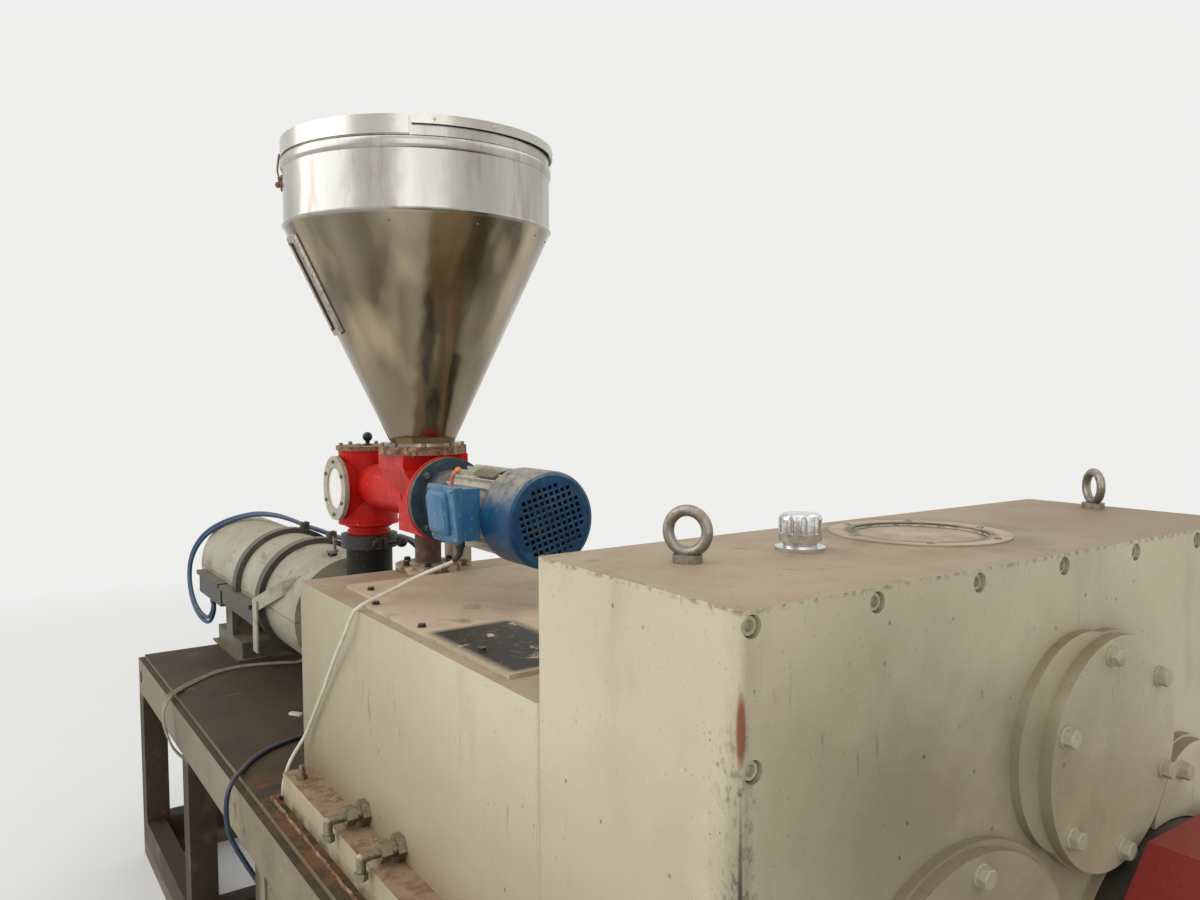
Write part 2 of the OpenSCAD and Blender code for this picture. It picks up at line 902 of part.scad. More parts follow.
module sight_ring() {
    color(cream)
        at_sight()
            ring_z(0, 12, sight_ring_r, sight_glass_r);
}

module sight_glass() {
    color(white)
        at_sight()
            cylinder(r = sight_glass_r - seat, h = 8);
}

// Throat casting: a wide top that tapers into the narrow screw housing
throat_half_x = 76;
throat_half_y = 85;
throat_low_half_y = 58;
throat_low_x0 = hopper_x - 19;
throat_low_x1 = hopper_x + 127;
throat_low_z = feeder_z - 85;
taper_top = throat_top - 35;
taper_low = taper_top - 65;
throat_wall = 9;
throat_end_wall = 16;
rim_t = 12;
rim_r = motor_flange_r + 2;

// Outline of one side: the wide top, the taper and the narrow part down to the floor
function throat_outline(wide, low, floor_z, top) = [
    [wide[0], top], [wide[0], taper_top], [low[0], taper_low], [low[0], floor_z],
    [low[1], floor_z], [low[1], taper_low], [wide[1], taper_top], [wide[1], top]
];

// The casting's outer form, or the hollow inside it when drawn in by a wall
module throat_form(wall, end_wall, over) {
    x_wide = [hopper_x - throat_half_x + wall, hopper_x + throat_half_x - wall];
    x_low = [throat_low_x0 + wall, throat_low_x1 - end_wall];
    y_wide = [wall - throat_half_y, throat_half_y - wall];
    y_low = [wall - throat_low_half_y, throat_low_half_y - wall];
    intersection() {
        translate([0, screw_y + 2 * throat_half_y, 0])
            rotate([90, 0, 0])
                linear_extrude(4 * throat_half_y)
                    polygon(throat_outline(x_wide, x_low, throat_low_z + wall, throat_top + over));
        translate([hopper_x - 4 * throat_half_x, screw_y, 0])
            rotate([90, 0, 90])
                linear_extrude(8 * throat_half_x)
                    polygon(throat_outline(y_wide, y_low, throat_low_z + wall, throat_top + over));
    }
}

// Hollow casting, with the rim that carries the motor's flange
module throat_body() {
    color(red)
        difference() {
            union() {
                throat_form(0, 0, 0);
                translate([0, screw_y, feeder_z])
                    rod_x(throat_low_x1 - eps, motor_x0, rim_r);
            }
            throat_form(throat_wall, throat_end_wall, 1);
        }
}

module throat_flange() {
    color(rusty)
        at_hopper()
            ring_z(throat_top, hopper_z0, throat_flange_r, outlet_r - hopper_sheet);
}

hopper_base_h = 8;
hopper_base_r = 95;
hopper_bead = 4;
cone_z0 = hopper_z0 + hopper_base_h;
cone_z1 = cone_z0 + cone_height;
wall_z1 = cone_z1 + wall_height;

// Cone of the hopper with its base ring
module hopper_cone() {
    s = hopper_sheet;
    color(steel)
        at_hopper()
            rotate_extrude()
                polygon([
                    [outlet_r - s, hopper_z0], [hopper_base_r, hopper_z0], [hopper_base_r, cone_z0],
                    [outlet_r + 1, cone_z0], [hopper_r, cone_z1], [hopper_r - s, cone_z1],
                    [outlet_r - s, cone_z0]
                ]);
}

// Drum of the hopper with a bead at its foot
module hopper_shell() {
    s = hopper_sheet;
    b = hopper_bead;
    color(steel)
        at_hopper()
            rotate_extrude()
                polygon([
                    [hopper_r - s, cone_z1], [hopper_r, cone_z1], [hopper_r + b, cone_z1 + b],
                    [hopper_r, cone_z1 + 2 * b], [hopper_r, wall_z1], [hopper_r - s, wall_z1]
                ]);
}

// Half of a lid with a skirt, on one side of the split line
module half_lid(r, skirt, z_top, sheet, gap) {
    translate([0, 0, z_top - skirt])
        difference() {
            cylinder(r = r, h = skirt);
            translate([0, 0, -1])
                cylinder(r = r - sheet, h = skirt - sheet + 1);
            translate([-r - 1, -r - 1, -1])
                cube([2 * r + 2, r + 1 + gap, skirt + 2]);
        }
}

lid_sheet = 3;
lid_gap = 2.5;
lid_fixed_r = hopper_r + lid_sheet + 1;
lid_hinged_r = hopper_r + lid_sheet + 6;
lid_top = wall_z1 + lid_sheet;
lid_lift = 0.3;
hinge_reach = 170;
leaf_half = 30;
leaf_w = 34;
leaf_t = 2.5;
knuckle_half = 12;
knuckle_gap = 1;
knuckle_r = 5;
pin_rise = 8;
pin_r = 2.5;
pin_clearance = 0.05;

module lid_fixed() {
    color(steel)
        at_hopper()
            rotate([0, 0, split_angle + 180])
                half_lid(lid_fixed_r, fixed_skirt, lid_top, lid_sheet, lid_gap);
}

module lid_hinged() {
    color(steel)
        at_hopper()
            rotate([0, 0, split_angle])
                translate([0, 0, lid_lift])
                    half_lid(lid_hinged_r, hinged_skirt, lid_top, lid_sheet, lid_gap);
}

// Children at each hinge's middle, with X along the pin and +Y over the hinged half
module at_hinges() {
    at_hopper()
        rotate([0, 0, split_angle])
            for (x = [-hinge_reach, hinge_reach])
                translate([x, 0, lid_top])
                    children();
}

// Leaf on the fixed half, with the outer knuckles and the pin
module hinge_fixed_leaves() {
    outer = knuckle_half + knuckle_gap;
    color(steel)
        at_hinges() {
            block([-leaf_half, -leaf_w, 0], [leaf_half, -lid_gap, leaf_t]);
            for (x = [-leaf_half, outer])
                block([x, -knuckle_r, 0], [x + leaf_half - outer, -lid_gap, pin_rise]);
            translate([0, 0, pin_rise]) {
                rod_x(-leaf_half, -outer, knuckle_r);
                rod_x(outer, leaf_half, knuckle_r);
                rod_x(-leaf_half, leaf_half, pin_r);
            }
        }
}

// Leaf on the hinged half, with the bored middle knuckle
module hinge_moving_leaves() {
    color(steel)
        at_hinges()
            difference() {
                union() {
                    block([-leaf_half, knuckle_r + 1, lid_lift], [leaf_half, leaf_w, lid_lift + leaf_t]);
                    block([-knuckle_half, lid_gap, lid_lift],
                        [knuckle_half, knuckle_r + 1 + eps, lid_lift + leaf_t]);
                    block([-knuckle_half, lid_gap, lid_lift], [knuckle_half, knuckle_r, pin_rise]);
                    translate([0, 0, pin_rise])
                        rod_x(-knuckle_half, knuckle_half, knuckle_r);
                }
                translate([0, 0, pin_rise])
                    rod_x(-knuckle_half - 1, knuckle_half + 1, pin_r + pin_clearance);
            }
}

// Round post with its flange, and the square post beside it
module feeder_post() {
    post_x = dist_x0 + 37;
    flange_t = 16;
    post_r = 32;
    flange_r = 80;
    square_side = 50;
    square_gap = 10;
    square_y = screw_tube_r + 2;
    color(cream) {
        translate([post_x, screw_y, dist_top]) {
            cylinder(r = flange_r, h = flange_t);
            cylinder(r = post_r, h = throat_low_z - dist_top);
        }
        block([dist_x0, screw_y + square_y, dist_top],
            [dist_x0 + square_side, screw_y + square_y + square_side, taper_low - square_gap]);
    }
}

motor_x0 = throat_low_x1 + rim_t;
motor_flange_t = 14;
neck_length = 120;
cowl_length = 115;
motor_x1 = motor_x0 + motor_flange_t + feeder_motor_length;
cowl_x0 = motor_x1 - cowl_length;
cowl_sheet = 2.5;
spigot_t = 20;
box_length = 110;
box_gap = 8;
box_x0 = cowl_x0 - box_gap - box_length;
box_seat_y = -94;
box_half_z = [-45, 60];

module feeder_motor() {
    neck_r = 72;
    stator_r = 82;
    fin_r = 92;
    fins = 28;
    fin_t = 3;
    fin_gap = 12;
    pad_margin = 8;
    pad_half = 38;
    neck_x1 = motor_x0 + motor_flange_t + neck_length;
    color(blue)
        translate([0, screw_y, feeder_z]) {
            rod_x(motor_x0, motor_x0 + motor_flange_t, motor_flange_r);
            rod_x(motor_x0 + motor_flange_t - eps, neck_x1 + eps, neck_r);
            rod_x(neck_x1, cowl_x0, stator_r);
            rod_x(cowl_x0 - eps, cowl_x0 + spigot_t, cowl_r - cowl_sheet - seat);
            block([box_x0 + pad_margin, box_seat_y, -pad_half],
                [box_x0 + box_length - pad_margin, -stator_r / 2, pad_half]);
            for (i = [0 : fins - 1])
                rotate([i * 360 / fins, 0, 0])
                    translate([neck_x1 + fin_gap, -fin_t / 2, stator_r - 2])
                        cube([cowl_x0 - neck_x1 - fin_gap - 4, fin_t, fin_r - stator_r + 2]);
        }
}

// Hub and flat blades inside the cowl
module cooling_fan() {
    hub_r = 26;
    hub_start = 12;
    hub_length = 48;
    shaft_r = 12;
    blades = 8;
    blade_r = 80;
    blade_t = 3;
    blade_w = 40;
    x0 = cowl_x0 + spigot_t;
    color(dark)
        translate([0, screw_y, feeder_z]) {
            rod_x(x0, x0 + hub_start + eps, shaft_r);
            rod_x(x0 + hub_start, x0 + hub_start + hub_length, hub_r);
            for (i = [0 : blades - 1])
                rotate([i * 360 / blades, 0, 0])
                    translate([x0 + hub_start + 4, -blade_t / 2, hub_r - 2])
                        cube([blade_w, blade_t, blade_r - hub_r + 2]);
        }
}

// Square holes in rows, turned a little, through a sheet that ends at that length
module grille_holes(length, sheet, radius) {
    turn = 15;
    over = 1;
    count = floor(radius / grille_pitch);
    half = grille_hole / 2;
    rotate([turn, 0, 0])
        for (i = [-count : count], j = [-count : count])
            if (norm([i, j]) * grille_pitch + half < radius)
                translate([length - sheet - over, i * grille_pitch - half, j * grille_pitch - half])
                    cube([sheet + 2 * over, grille_hole, grille_hole]);
}

// Fan cowl: a shell with a rounded rear edge and a grille of square holes in its end
module fan_cowl() {
    grille_r = 80;
    s = cowl_sheet;
    length = cowl_length;
    color(blue)
        translate([cowl_x0, screw_y, feeder_z])
            difference() {
                rotate([0, 90, 0])
                    rotate_extrude()
                        polygon([
                            [cowl_r - s, 0], [cowl_r, 0], [cowl_r, length - 9], [cowl_r - 2.5, length - 3],
                            [cowl_r - 8.5, length], [0, length], [0, length - s], [cowl_r - 9, length - s],
                            [cowl_r - s, length - 9]
                        ]);
                grille_holes(length, s, grille_r);
            }
}

// Terminal box with its wedge lid, deeper at the top
module terminal_box() {
    joint_y = -134;
    lid_over = 3;
    lid_low_y = -142;
    lid_top_y = -153;
    color(blue)
        translate([box_x0, screw_y, feeder_z]) {
            rotate([90, 0, 90])
                linear_extrude(box_length)
                    polygon([
                        [box_seat_y, box_half_z[0]], [box_seat_y, box_half_z[1]],
                        [joint_y - eps, box_half_z[1]], [joint_y - eps, box_half_z[0]]
                    ]);
            translate([-lid_over, 0, 0])
                rotate([90, 0, 90])
                    linear_extrude(box_length + 2 * lid_over)
                        polygon([
                            [joint_y, box_half_z[0] - lid_over], [joint_y, box_half_z[1] + lid_over],
                            [lid_top_y, box_half_z[1] + lid_over], [lid_low_y, box_half_z[0] - lid_over]
                        ]);
        }
}

// Oil manifold along the foot of the distribution box
manifold_x = [49, 995];
manifold_width = 62;
manifold_h = 68;
manifold_y = -dist_width / 2 - manifold_width;

module manifold_block() {
    color(cream)
        translate([dist_x0, screw_y, table_height])
            block([manifold_x[0], manifold_y, 0], [manifold_x[1], -dist_width / 2, manifold_h]);
}

// Union nuts with their bent pipe stubs on the box's wall, and the sensor plug on the manifold
module oil_fittings() {
    wall_y = -dist_width / 2;
    pipe_z = 820;
    pipe_r = 9;
    stub_low = 40;
    elbow_y = -79;
    plug_at = [110, -345];
    color(dark) {
        for (x = [407, 585])
            translate([dist_x0 + x, screw_y, pipe_z]) {
                translate([0, wall_y, 0])
                    rotate([90, 0, 0]) {
                        cylinder(r = 26, h = 16, $fn = 6);
                        cylinder(r = 14, h = 30);
                        translate([0, 0, 26])
                            cylinder(r = 20, h = 20, $fn = 6);
                        cylinder(r = pipe_r, h = -elbow_y);
                    }
                translate([0, wall_y + elbow_y, 0]) {
                    sphere(r = pipe_r);
                    translate([0, 0, -stub_low])
                        cylinder(r = pipe_r, h = stub_low);
                    translate([0, 0, -stub_low])
                        cylinder(r = 13, h = 14, $fn = 6);
                }
            }
        translate([dist_x0 + plug_at[0], screw_y + plug_at[1], table_height + manifold_h]) {
            cylinder(r = 13, h = 9, $fn = 6);
            cylinder(r = 9, h = 22);
            cylinder(r = 6, h = 30);
        }
    }
}

// Routes of the cords, from point to point, across from the screws' centreline
lead_r = 4;
lead_route = [
    [-50, -128, 1343], [-53, -129, 1327], [-65, -135, 1314], [-87, -149, 1302], [-114, -172, 1287],
    [-134, -200, 1271], [-142, -232, 1256], [-142, -266, 1244], [-139, -296, 1234], [-144, -315, 1220],
    [-160, -321, 1194], [-187, -323, 1161], [-238, -322, 1112], [-290, -319, 1062], [-335, -318, 1013],
    [-380, -318, 965], [-425, -318, 918], [-458, -320, 880], [-480, -328, 850], [-490, -340, 825],
    [-493, -352, 800], [-494, -360, 775], [-494, -364, 755], [-494, -365, 735]
];
table_hose_r = 6;
table_hose_route = [
    [-883, 0, 862], [-883, -2, 830], [-884, -9, 798], [-883, -26, 768], [-880, -56, 746],
    [-874, -96, 735], [-866, -140, 733.5], [-852, -200, 733.5], [-832, -260, 733.5], [-800, -318, 733.5],
    [-755, -366, 733.5], [-705, -400, 735], [-664, -424, 738], [-634, -444, 734], [-617, -458, 716],
    [-609, -464, 688], [-604, -464, 655], [-598, -459, 622], [-591, -447, 591], [-583, -433, 562],
    [-571, -418, 532], [-556, -405, 506], [-537, -397, 488], [-520, -395, 481], [-505, -395, 480]
];
cooling_hose_r = 7;
cooling_route = [
    [-545, 130, 1150], [-580, 130, 1150], [-640, 129, 1159], [-710, 124, 1182], [-780, 116, 1208],
    [-840, 112, 1228], [-900, 110, 1238], [-970, 108, 1232], [-1050, 105, 1216], [-1150, 103, 1195],
    [-1250, 101, 1180], [-1358, 100, 1175], [-1500, 100, 1175], [-1638, 98, 1176], [-1760, 90, 1178],
    [-1870, 70, 1188], [-1960, 35, 1196], [-2040, -10, 1193], [-2110, -60, 1174], [-2170, -110, 1144],
    [-2215, -152, 1105], [-2240, -182, 1058], [-2244, -202, 1006], [-2230, -211, 954], [-2196, -214, 905],
    [-2150, -212, 864], [-2095, -206, 838], [-2038, -199, 828], [-2002, -194, 834], [-1979, -190, 851],
    [-1966, -187, 873], [-1965, -187, 894]
];
cooling_spread = [
    [0, 18, -4], [0, 18, -4], [0, 18, -5], [0, 17, -6], [0, 17, -7],
    [0, 17, -7], [0, 17, -7], [0, 16, -8], [0, 16, -9], [0, 16, -9],
    [0, 15, -10], [0, 15, -9], [0, 15, -9], [0, 15, -9], [0, 16, -8],
    [-3, 17, -6], [-7, 16, 0], [-9, 14, 5], [-10, 12, 9], [-12, 8, 11],
    [-14, 4, 11], [-17, 0, 6], [-18, 0, 0], [-17, 0, -6], [-15, 0, -11],
    [-9, 0, -16], [-3, 0, -18], [2, 0, -18], [8, 0, -16], [14, 0, -11],
    [17, 0, -5], [18, 0, 0]
];
wire_r = 3;
wire_route = [
    [-1560, 40, 812], [-1561, 39, 790], [-1564, 34, 764], [-1572, 21, 742], [-1585, 0, 731],
    [-1603, -32, 730.5], [-1623, -78, 730.5], [-1640, -132, 730.5], [-1646, -190, 730.5],
    [-1632, -245, 730.5], [-1600, -295, 730.5], [-1558, -342, 730.5], [-1515, -382, 731],
    [-1470, -414, 734], [-1432, -440, 734], [-1407, -456, 721], [-1393, -463, 699], [-1386, -464, 671],
    [-1379, -460, 643], [-1369, -452, 617], [-1355, -442, 594], [-1338, -427, 574], [-1318, -411, 558],
    [-1308, -403, 551], [-1298, -400, 550]
];
wire_spread = [
    [8, 0, 0], [8, 0, 0], [8, 0, 0], [8, -1, 0], [8, -2, 0],
    [9, -3, 0], [9, -3, 0], [9, -2, 0], [10, 1, 0],
    [9, 4, 0], [7, 6, 0], [6, 7, 0], [5, 7, 0],
    [5, 7, 0], [5, 7, 1], [6, 5, 3], [8, 1, 3], [8, 0, 2],
    [8, 0, 3], [8, -1, 3], [7, -3, 4], [6, -4, 4], [4, -5, 5],
    [2, -6, 5], [0, -7, 5]
];

// A route moved across by its spread, as often as the number says
function spread_route(route, spread, n) = [for (i = [0 : len(route) - 1]) route[i] + n * spread[i]];

function unit(v) = v / norm(v);

// Point on the smooth curve through a route, at part t of the way from point i to the next
function curve_point(p, i, t) =
    let (a = p[max(i - 1, 0)], b = p[i], c = p[i + 1], d = p[min(i + 2, len(p) - 1)])
    0.5 * (2 * b + (c - a) * t + (2 * a - 5 * b + 4 * c - d) * t * t + (3 * b - a - 3 * c + d) * t * t * t);

function curve(p, steps) = concat(
    [for (i = [0 : len(p) - 2], j = [0 : steps - 1]) curve_point(p, i, j / steps)], [p[len(p) - 1]]);

function heading(q, i) = unit(q[min(i + 1, len(q) - 1)] - q[max(i - 1, 0)]);

// Directions square to the curve, carried along it without twist
function carried(q) = [
    for (i = 0, n = unit(cross(heading(q, 0), [0.3, 0.5, 0.8])); i < len(q);
        i = i + 1, n = unit(n - (n * heading(q, min(i, len(q) - 1))) * heading(q, min(i, len(q) - 1)))) n
];

// Round tube along a route, as one closed body
module cord(route, r, steps, sides) {
    q = curve(route, steps);
    n = carried(q);
    rings = len(q);
    points = [for (i = [0 : rings - 1], k = [0 : sides - 1])
        q[i] + r * (cos(k * 360 / sides) * n[i] + sin(k * 360 / sides) * cross(heading(q, i), n[i]))];
    faces = concat(
        [[for (k = [0 : sides - 1]) k]],
        [for (i = [0 : rings - 2], k = [0 : sides - 1])
            [i * sides + (k + 1) % sides, i * sides + k,
                (i + 1) * sides + k, (i + 1) * sides + (k + 1) % sides]],
        [[for (k = [sides - 1 : -1 : 0]) (rings - 1) * sides + k]]);
    translate([0, screw_y, 0])
        polyhedron(points, faces, convexity = 10);
}

module feeder_lead() {
    color(white)
        cord(lead_route, lead_r, 2, 8);
}

module table_hose() {
    color(blue)
        cord(table_hose_route, table_hose_r, 2, 8);
}

module cooling_hose_1() {
    color(blue)
        cord(cooling_route, cooling_hose_r, 2, 8);
}

module cooling_hose_2() {
    color(blue)
        cord(spread_route(cooling_route, cooling_spread, 1), cooling_hose_r, 2, 8);
}

module heater_wire_1() {
    color(grey)
        cord(wire_route, wire_r, 2, 8);
}

module heater_wire_2() {
    color(grey)
        cord(spread_route(wire_route, wire_spread, 1), wire_r, 2, 8);
}

module heater_wire_3() {
    color(grey)
        cord(spread_route(wire_route, wire_spread, 2), wire_r, 2, 8);
}

// Glands and ports where the cords enter: each ends in the face that its cord starts from
module cord_glands() {
    end = len(lead_route) - 1;
    hose_end = len(table_hose_route) - 1;
    cool_end = len(cooling_route) - 1;
    wire_end = len(wire_route) - 1;
    hose_2 = spread_route(cooling_route, cooling_spread, 1);
    outlet_margin = 10;
    outlet_length = 26;
    color(dark)
        translate([0, screw_y, 0]) {
            gland_up(lead_route[0], box_low_z, 10);
            gland_up(lead_route[end] - [0, 0, lead_route[end][2] - table_height], lead_route[end][2], 9);
            difference() {
                gland_up(table_hose_route[0], centre_height - barrel_r + 4, 14);
                translate([0, 0, centre_height])
                    rod_x(covers_x1, dist_x0, barrel_r + seat);
            }
            gland_in(table_hose_route[hose_end], table_leg_x[2], 12);
            gland_in(cooling_route[0], dist_x0, 9);
            gland_in(hose_2[0], dist_x0, 9);
            gland_up(cooling_route[cool_end], centre_height + box_a_low, 9);
            gland_up(hose_2[cool_end], centre_height + box_a_low, 9);
            gland_in(wire_route[wire_end] + wire_spread[wire_end], table_leg_x[1], 14);
            difference() {
                block(wire_route[0] - [outlet_margin, outlet_margin, 0],
                    [wire_route[0][0] + outlet_length, wire_route[0][1] + outlet_margin, centre_height]);
                translate([0, 0, centre_height - seam_gap])
                    rod_x(covers_x0, covers_x1, covers_r + seat);
            }
        }
}
box_low_z = feeder_z + box_half_z[0] - 3;

// Gland from a point straight up to a face
module gland_up(from, z, r) {
    translate(from)
        cylinder(r = r, h = z - from[2]);
}

// Gland from a point along X to a face
module gland_in(from, x, r) {
    translate(from)
        rod_x(0, x - from[0], r);
}

floor_rails();
cross_rails();
legs();
table_beams();
table_cross_beams();
table_plate();
bed_beams();
bed_plate();
side_panels();
distribution_box();
access_plates();
gearbox_housing();
bearing_covers();
input_flange();
breather_cap();
eye_bolts();
inspection_port();
barrel();
upper_covers();
lower_covers();
cover_bands();
heater_boxes();
cover_bracket();
barrel_foot();
feed_tube();
clamp_ring();
discharge_body();
discharge_lid();
sight_ring();
sight_glass();
throat_body();
throat_flange();
hopper_cone();
hopper_shell();
lid_fixed();
lid_hinged();
hinge_fixed_leaves();
hinge_moving_leaves();
feeder_post();
feeder_motor();
cooling_fan();
fan_cowl();
terminal_box();
manifold_block();
oil_fittings();
cord_glands();
coupling();
coupling_guard();
motor_rails();
main_motor();
feeder_lead();
table_hose();
cooling_hose_1();
cooling_hose_2();
heater_wire_1();
heater_wire_2();
heater_wire_3();
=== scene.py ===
"""Finishes, fastenings, cords, camera and stage for the conical twin-screw plastic extruder.

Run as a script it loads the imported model, registers its panel and operators, and calls each
operator once. Sizes are metres in the model's frame: X runs from the die end to the main motor.
"""

import json
import math

import bmesh
import bpy
import numpy as np
from bpy.props import FloatProperty, FloatVectorProperty, IntProperty, PointerProperty
from mathutils import Matrix, Vector


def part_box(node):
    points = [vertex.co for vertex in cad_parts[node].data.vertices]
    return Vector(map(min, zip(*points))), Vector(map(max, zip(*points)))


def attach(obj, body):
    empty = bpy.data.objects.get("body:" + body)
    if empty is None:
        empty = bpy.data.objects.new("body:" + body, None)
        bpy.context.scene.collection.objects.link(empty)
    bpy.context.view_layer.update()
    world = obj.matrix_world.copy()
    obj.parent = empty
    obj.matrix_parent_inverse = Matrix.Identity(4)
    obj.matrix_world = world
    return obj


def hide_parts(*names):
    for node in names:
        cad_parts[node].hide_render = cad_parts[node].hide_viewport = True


bl_info = {
    "name": "Plastic extruder dressing",
    "version": (1, 0, 0),
    "blender": (4, 5, 0),
    "location": "View3D > Sidebar > Extruder",
    "description": "Gives the plastic extruder its finishes, fastenings, cords, camera and stage",
    "category": "Object",
}

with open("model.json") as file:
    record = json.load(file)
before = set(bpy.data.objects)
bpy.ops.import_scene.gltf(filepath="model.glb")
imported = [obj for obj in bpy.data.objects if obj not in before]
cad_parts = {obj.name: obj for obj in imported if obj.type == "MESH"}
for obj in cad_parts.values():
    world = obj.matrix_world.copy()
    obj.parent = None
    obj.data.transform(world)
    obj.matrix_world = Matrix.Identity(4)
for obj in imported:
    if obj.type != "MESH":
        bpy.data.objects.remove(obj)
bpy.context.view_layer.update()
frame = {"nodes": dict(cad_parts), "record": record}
ROOT = next(name for name, nodes in frame["record"]["behaviour"]["bodies"].items() if "floor_rails" in nodes)
LID = next(name for name, nodes in frame["record"]["behaviour"]["bodies"].items() if "lid_hinged" in nodes)


# Places that the frame gives

def low(node):
    """Lowest corner of a node's box at rest."""
    return np.array(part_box(node)[0])


def high(node):
    """Highest corner of a node's box at rest."""
    return np.array(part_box(node)[1])


def middle(node):
    """Middle of a node's box at rest."""
    return (low(node) + high(node)) / 2


# Rise of the inspection port's lid over its ring, width of that ring, depth of the rear covers' pads
PORT_LID_RISE = 0.0025
PORT_RING_WIDTH = 0.034
PAD_DEPTH = 0.014

# Lines, faces and tops of the machine that the pieces are placed from
SCREW_Y = middle("distribution_box")[1]
AXIS_Z = low("upper_covers")[2] - 0.001
HOPPER = middle("hopper_shell")
HOUSING_FACE = high("gearbox_housing")[0] - PAD_DEPTH
HOUSING_SIDE = low("gearbox_housing")[1]
GEARBOX_TOP = high("inspection_port")[2] - PORT_LID_RISE
TABLE_TOP = high("table_plate")[2]
DIST_TOP = high("distribution_box")[2]
DIST_X0 = low("distribution_box")[0]
FEEDER_Z = middle("fan_cowl")[2]

# Sizes of the model that its boxes don't give

# Centres of the gearbox's rear covers and its dowel pin, across from the screws' centreline and above
# their axis, and the circles that the covers' bolts stand on
LARGE_COVER = (0.396, 0.132)
LARGE_COVER_R = 0.171
LARGE_COVER_BOLTS = 0.148
LOW_COVER = (0.059, -0.147)
LOW_COVER_BOLTS = 0.197
SMALL_COVER = (0.636, -0.022)
SMALL_COVER_BOLTS = 0.095
INPUT_FLANGE = (0.556, -0.260)
INPUT_FLANGE_R = 0.248
INPUT_FLANGE_BOLTS = 0.216
DOWEL_PIN = (0.332, 0.271)

# Counterbored screws of the housing: depth of their holes, and the steps across and down
COUNTERBORE_DEPTH = 0.017
SCREW_STEP_ACROSS = 0.198
SCREW_STEP_DOWN = 0.155

# Bolts of the access plates: along X, and out from the screws' centreline to both sides
PLATE_BOLTS = ((-0.296, 0.222), (-0.155, 0.266), (0.074, 0.268), (0.283, 0.253))

# Feeder motor's fins, cowl and flange bolts' circle, and the reach of its terminal box's wedge lid
FIN_RADIUS = 0.092
COWL_RADIUS = 0.098
MOTOR_FLANGE_BOLTS = 0.0855
LID_OUT_LOW = 0.142
LID_OUT_HIGH = 0.153

# Hopper's drum, and the way the cone widens upwards
DRUM_RADIUS = 0.316
CONE_LOW_RADIUS = 0.075
CONE_WIDENING = (DRUM_RADIUS - CONE_LOW_RADIUS) / (high("hopper_cone")[2] - low("hopper_cone")[2] - 0.008)

# Rear flange of the barrel with its bolts' circle, the outside of its covers, and how far along it
# the thermocouple and the toggle stand
REAR_FLANGE = 0.036
REAR_FLANGE_BOLTS = 0.145
COVER_RADIUS = 0.172
THERMOCOUPLE_X = -1.150
TOGGLE_X = -1.105

# Feeder's post: its place behind the box's front edge, the top of its flange and its bolts' circle
POST_INSET = 0.037
POST_FLANGE_TOP = 0.016
POST_FLANGE_BOLTS = 0.060

# Rusty lip on the table: where it starts, and how far it stands from the screws' centreline
LIP_START = -0.503
LIP_OUT = 0.388

# Floor rails' flanges
RAIL_WALL = 0.008

# Shaft of the main motor, its end shield's bolts' circle, and the reach of its feet, shell, cowl and
# terminal box
INPUT_Y = SCREW_Y + 0.556
INPUT_Z = AXIS_Z - 0.260
SHIELD_BOLTS = 0.176
MOTOR_RADIUS = 0.200
FOOT_Y = 0.178
COWL_LENGTH = 0.130
MAIN_BOX = ((0.120, 0.310), (-0.060, 0.090), 0.265)

# Ends and tops of the closed panels along the base, and their foot
PANELS = ((-0.415, 0.471, 0.597), (0.621, 1.2495, 0.320), (1.3205, 1.949, 0.320))
PANEL_FOOT = 0.140

# Lamps: where each stands, the point that it faces and the side of its square, and the top lamp's
# power over the fill light's
KEY_LIGHT = ((-2.6, -6.0, 5.2), (-0.4, -0.2, 1.1), 7.5)
SIDE_LIGHT = ((5.6, -2.6, 3.2), (0.2, -0.2, 1.0), 5.0)
TOP_LIGHT = ((0.2, 1.2, 6.0), (-0.2, -0.1, 1.0), 8.5)
TOP_SHARE = 1.6

# Camera: where it stands, how it is turned from +Y, dipped and rolled, and its lens in millimetres
CAMERA_AT = (1.670, -1.261, 1.651)
CAMERA_TURN = math.radians(55.37)
CAMERA_DIP = math.radians(3.41)
CAMERA_ROLL = math.radians(-0.21)
CAMERA_LENS = 28.49
SENSOR_WIDTH = 36.0


# Surfaces: each is a grid of points worked out in one go, then put into a mesh

def build(name, points, faces, body, slot, material, smooth_angle):
    """Mesh object from an array of points and a list of faces, riding on a body. Edges sharper than
    that angle in degrees stay sharp."""
    mesh = bpy.data.meshes.new(name)
    mesh.from_pydata(np.asarray(points, float).tolist(), [], [list(map(int, f)) for f in faces])
    work = bmesh.new()
    work.from_mesh(mesh)
    bmesh.ops.recalc_face_normals(work, faces=work.faces)
    work.to_mesh(mesh)
    work.free()
    obj = bpy.data.objects.new(name, mesh)
    bpy.context.scene.collection.objects.link(obj)
    mesh.shade_smooth()
    mesh.set_sharp_from_angle(angle=math.radians(smooth_angle))
    mesh.materials.append(material)
    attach(obj, body)
    return obj


def grid_faces(rows, columns):
    """Quads of a grid of points laid row after row, whose last column joins its first."""
    i, k = np.meshgrid(np.arange(rows - 1), np.arange(columns), indexing="ij")
    n = (k + 1) % columns
    quads = np.stack([i * columns + k, i * columns + n, (i + 1) * columns + n, (i + 1) * columns + k], -1)
    return quads.reshape(-1, 4)


def tube_faces(rows, sides):
    """Quads round a tube of that many rings, and one face over each of its two ends."""
    faces = [tuple(f) for f in grid_faces(rows, sides)]
    return faces + [tuple(range(sides - 1, -1, -1)), tuple(range((rows - 1) * sides, rows * sides))]


# How far a hexagonal head's chamfer lets its corners stand past its flats
CHAMFERED_CORNER = 1.09


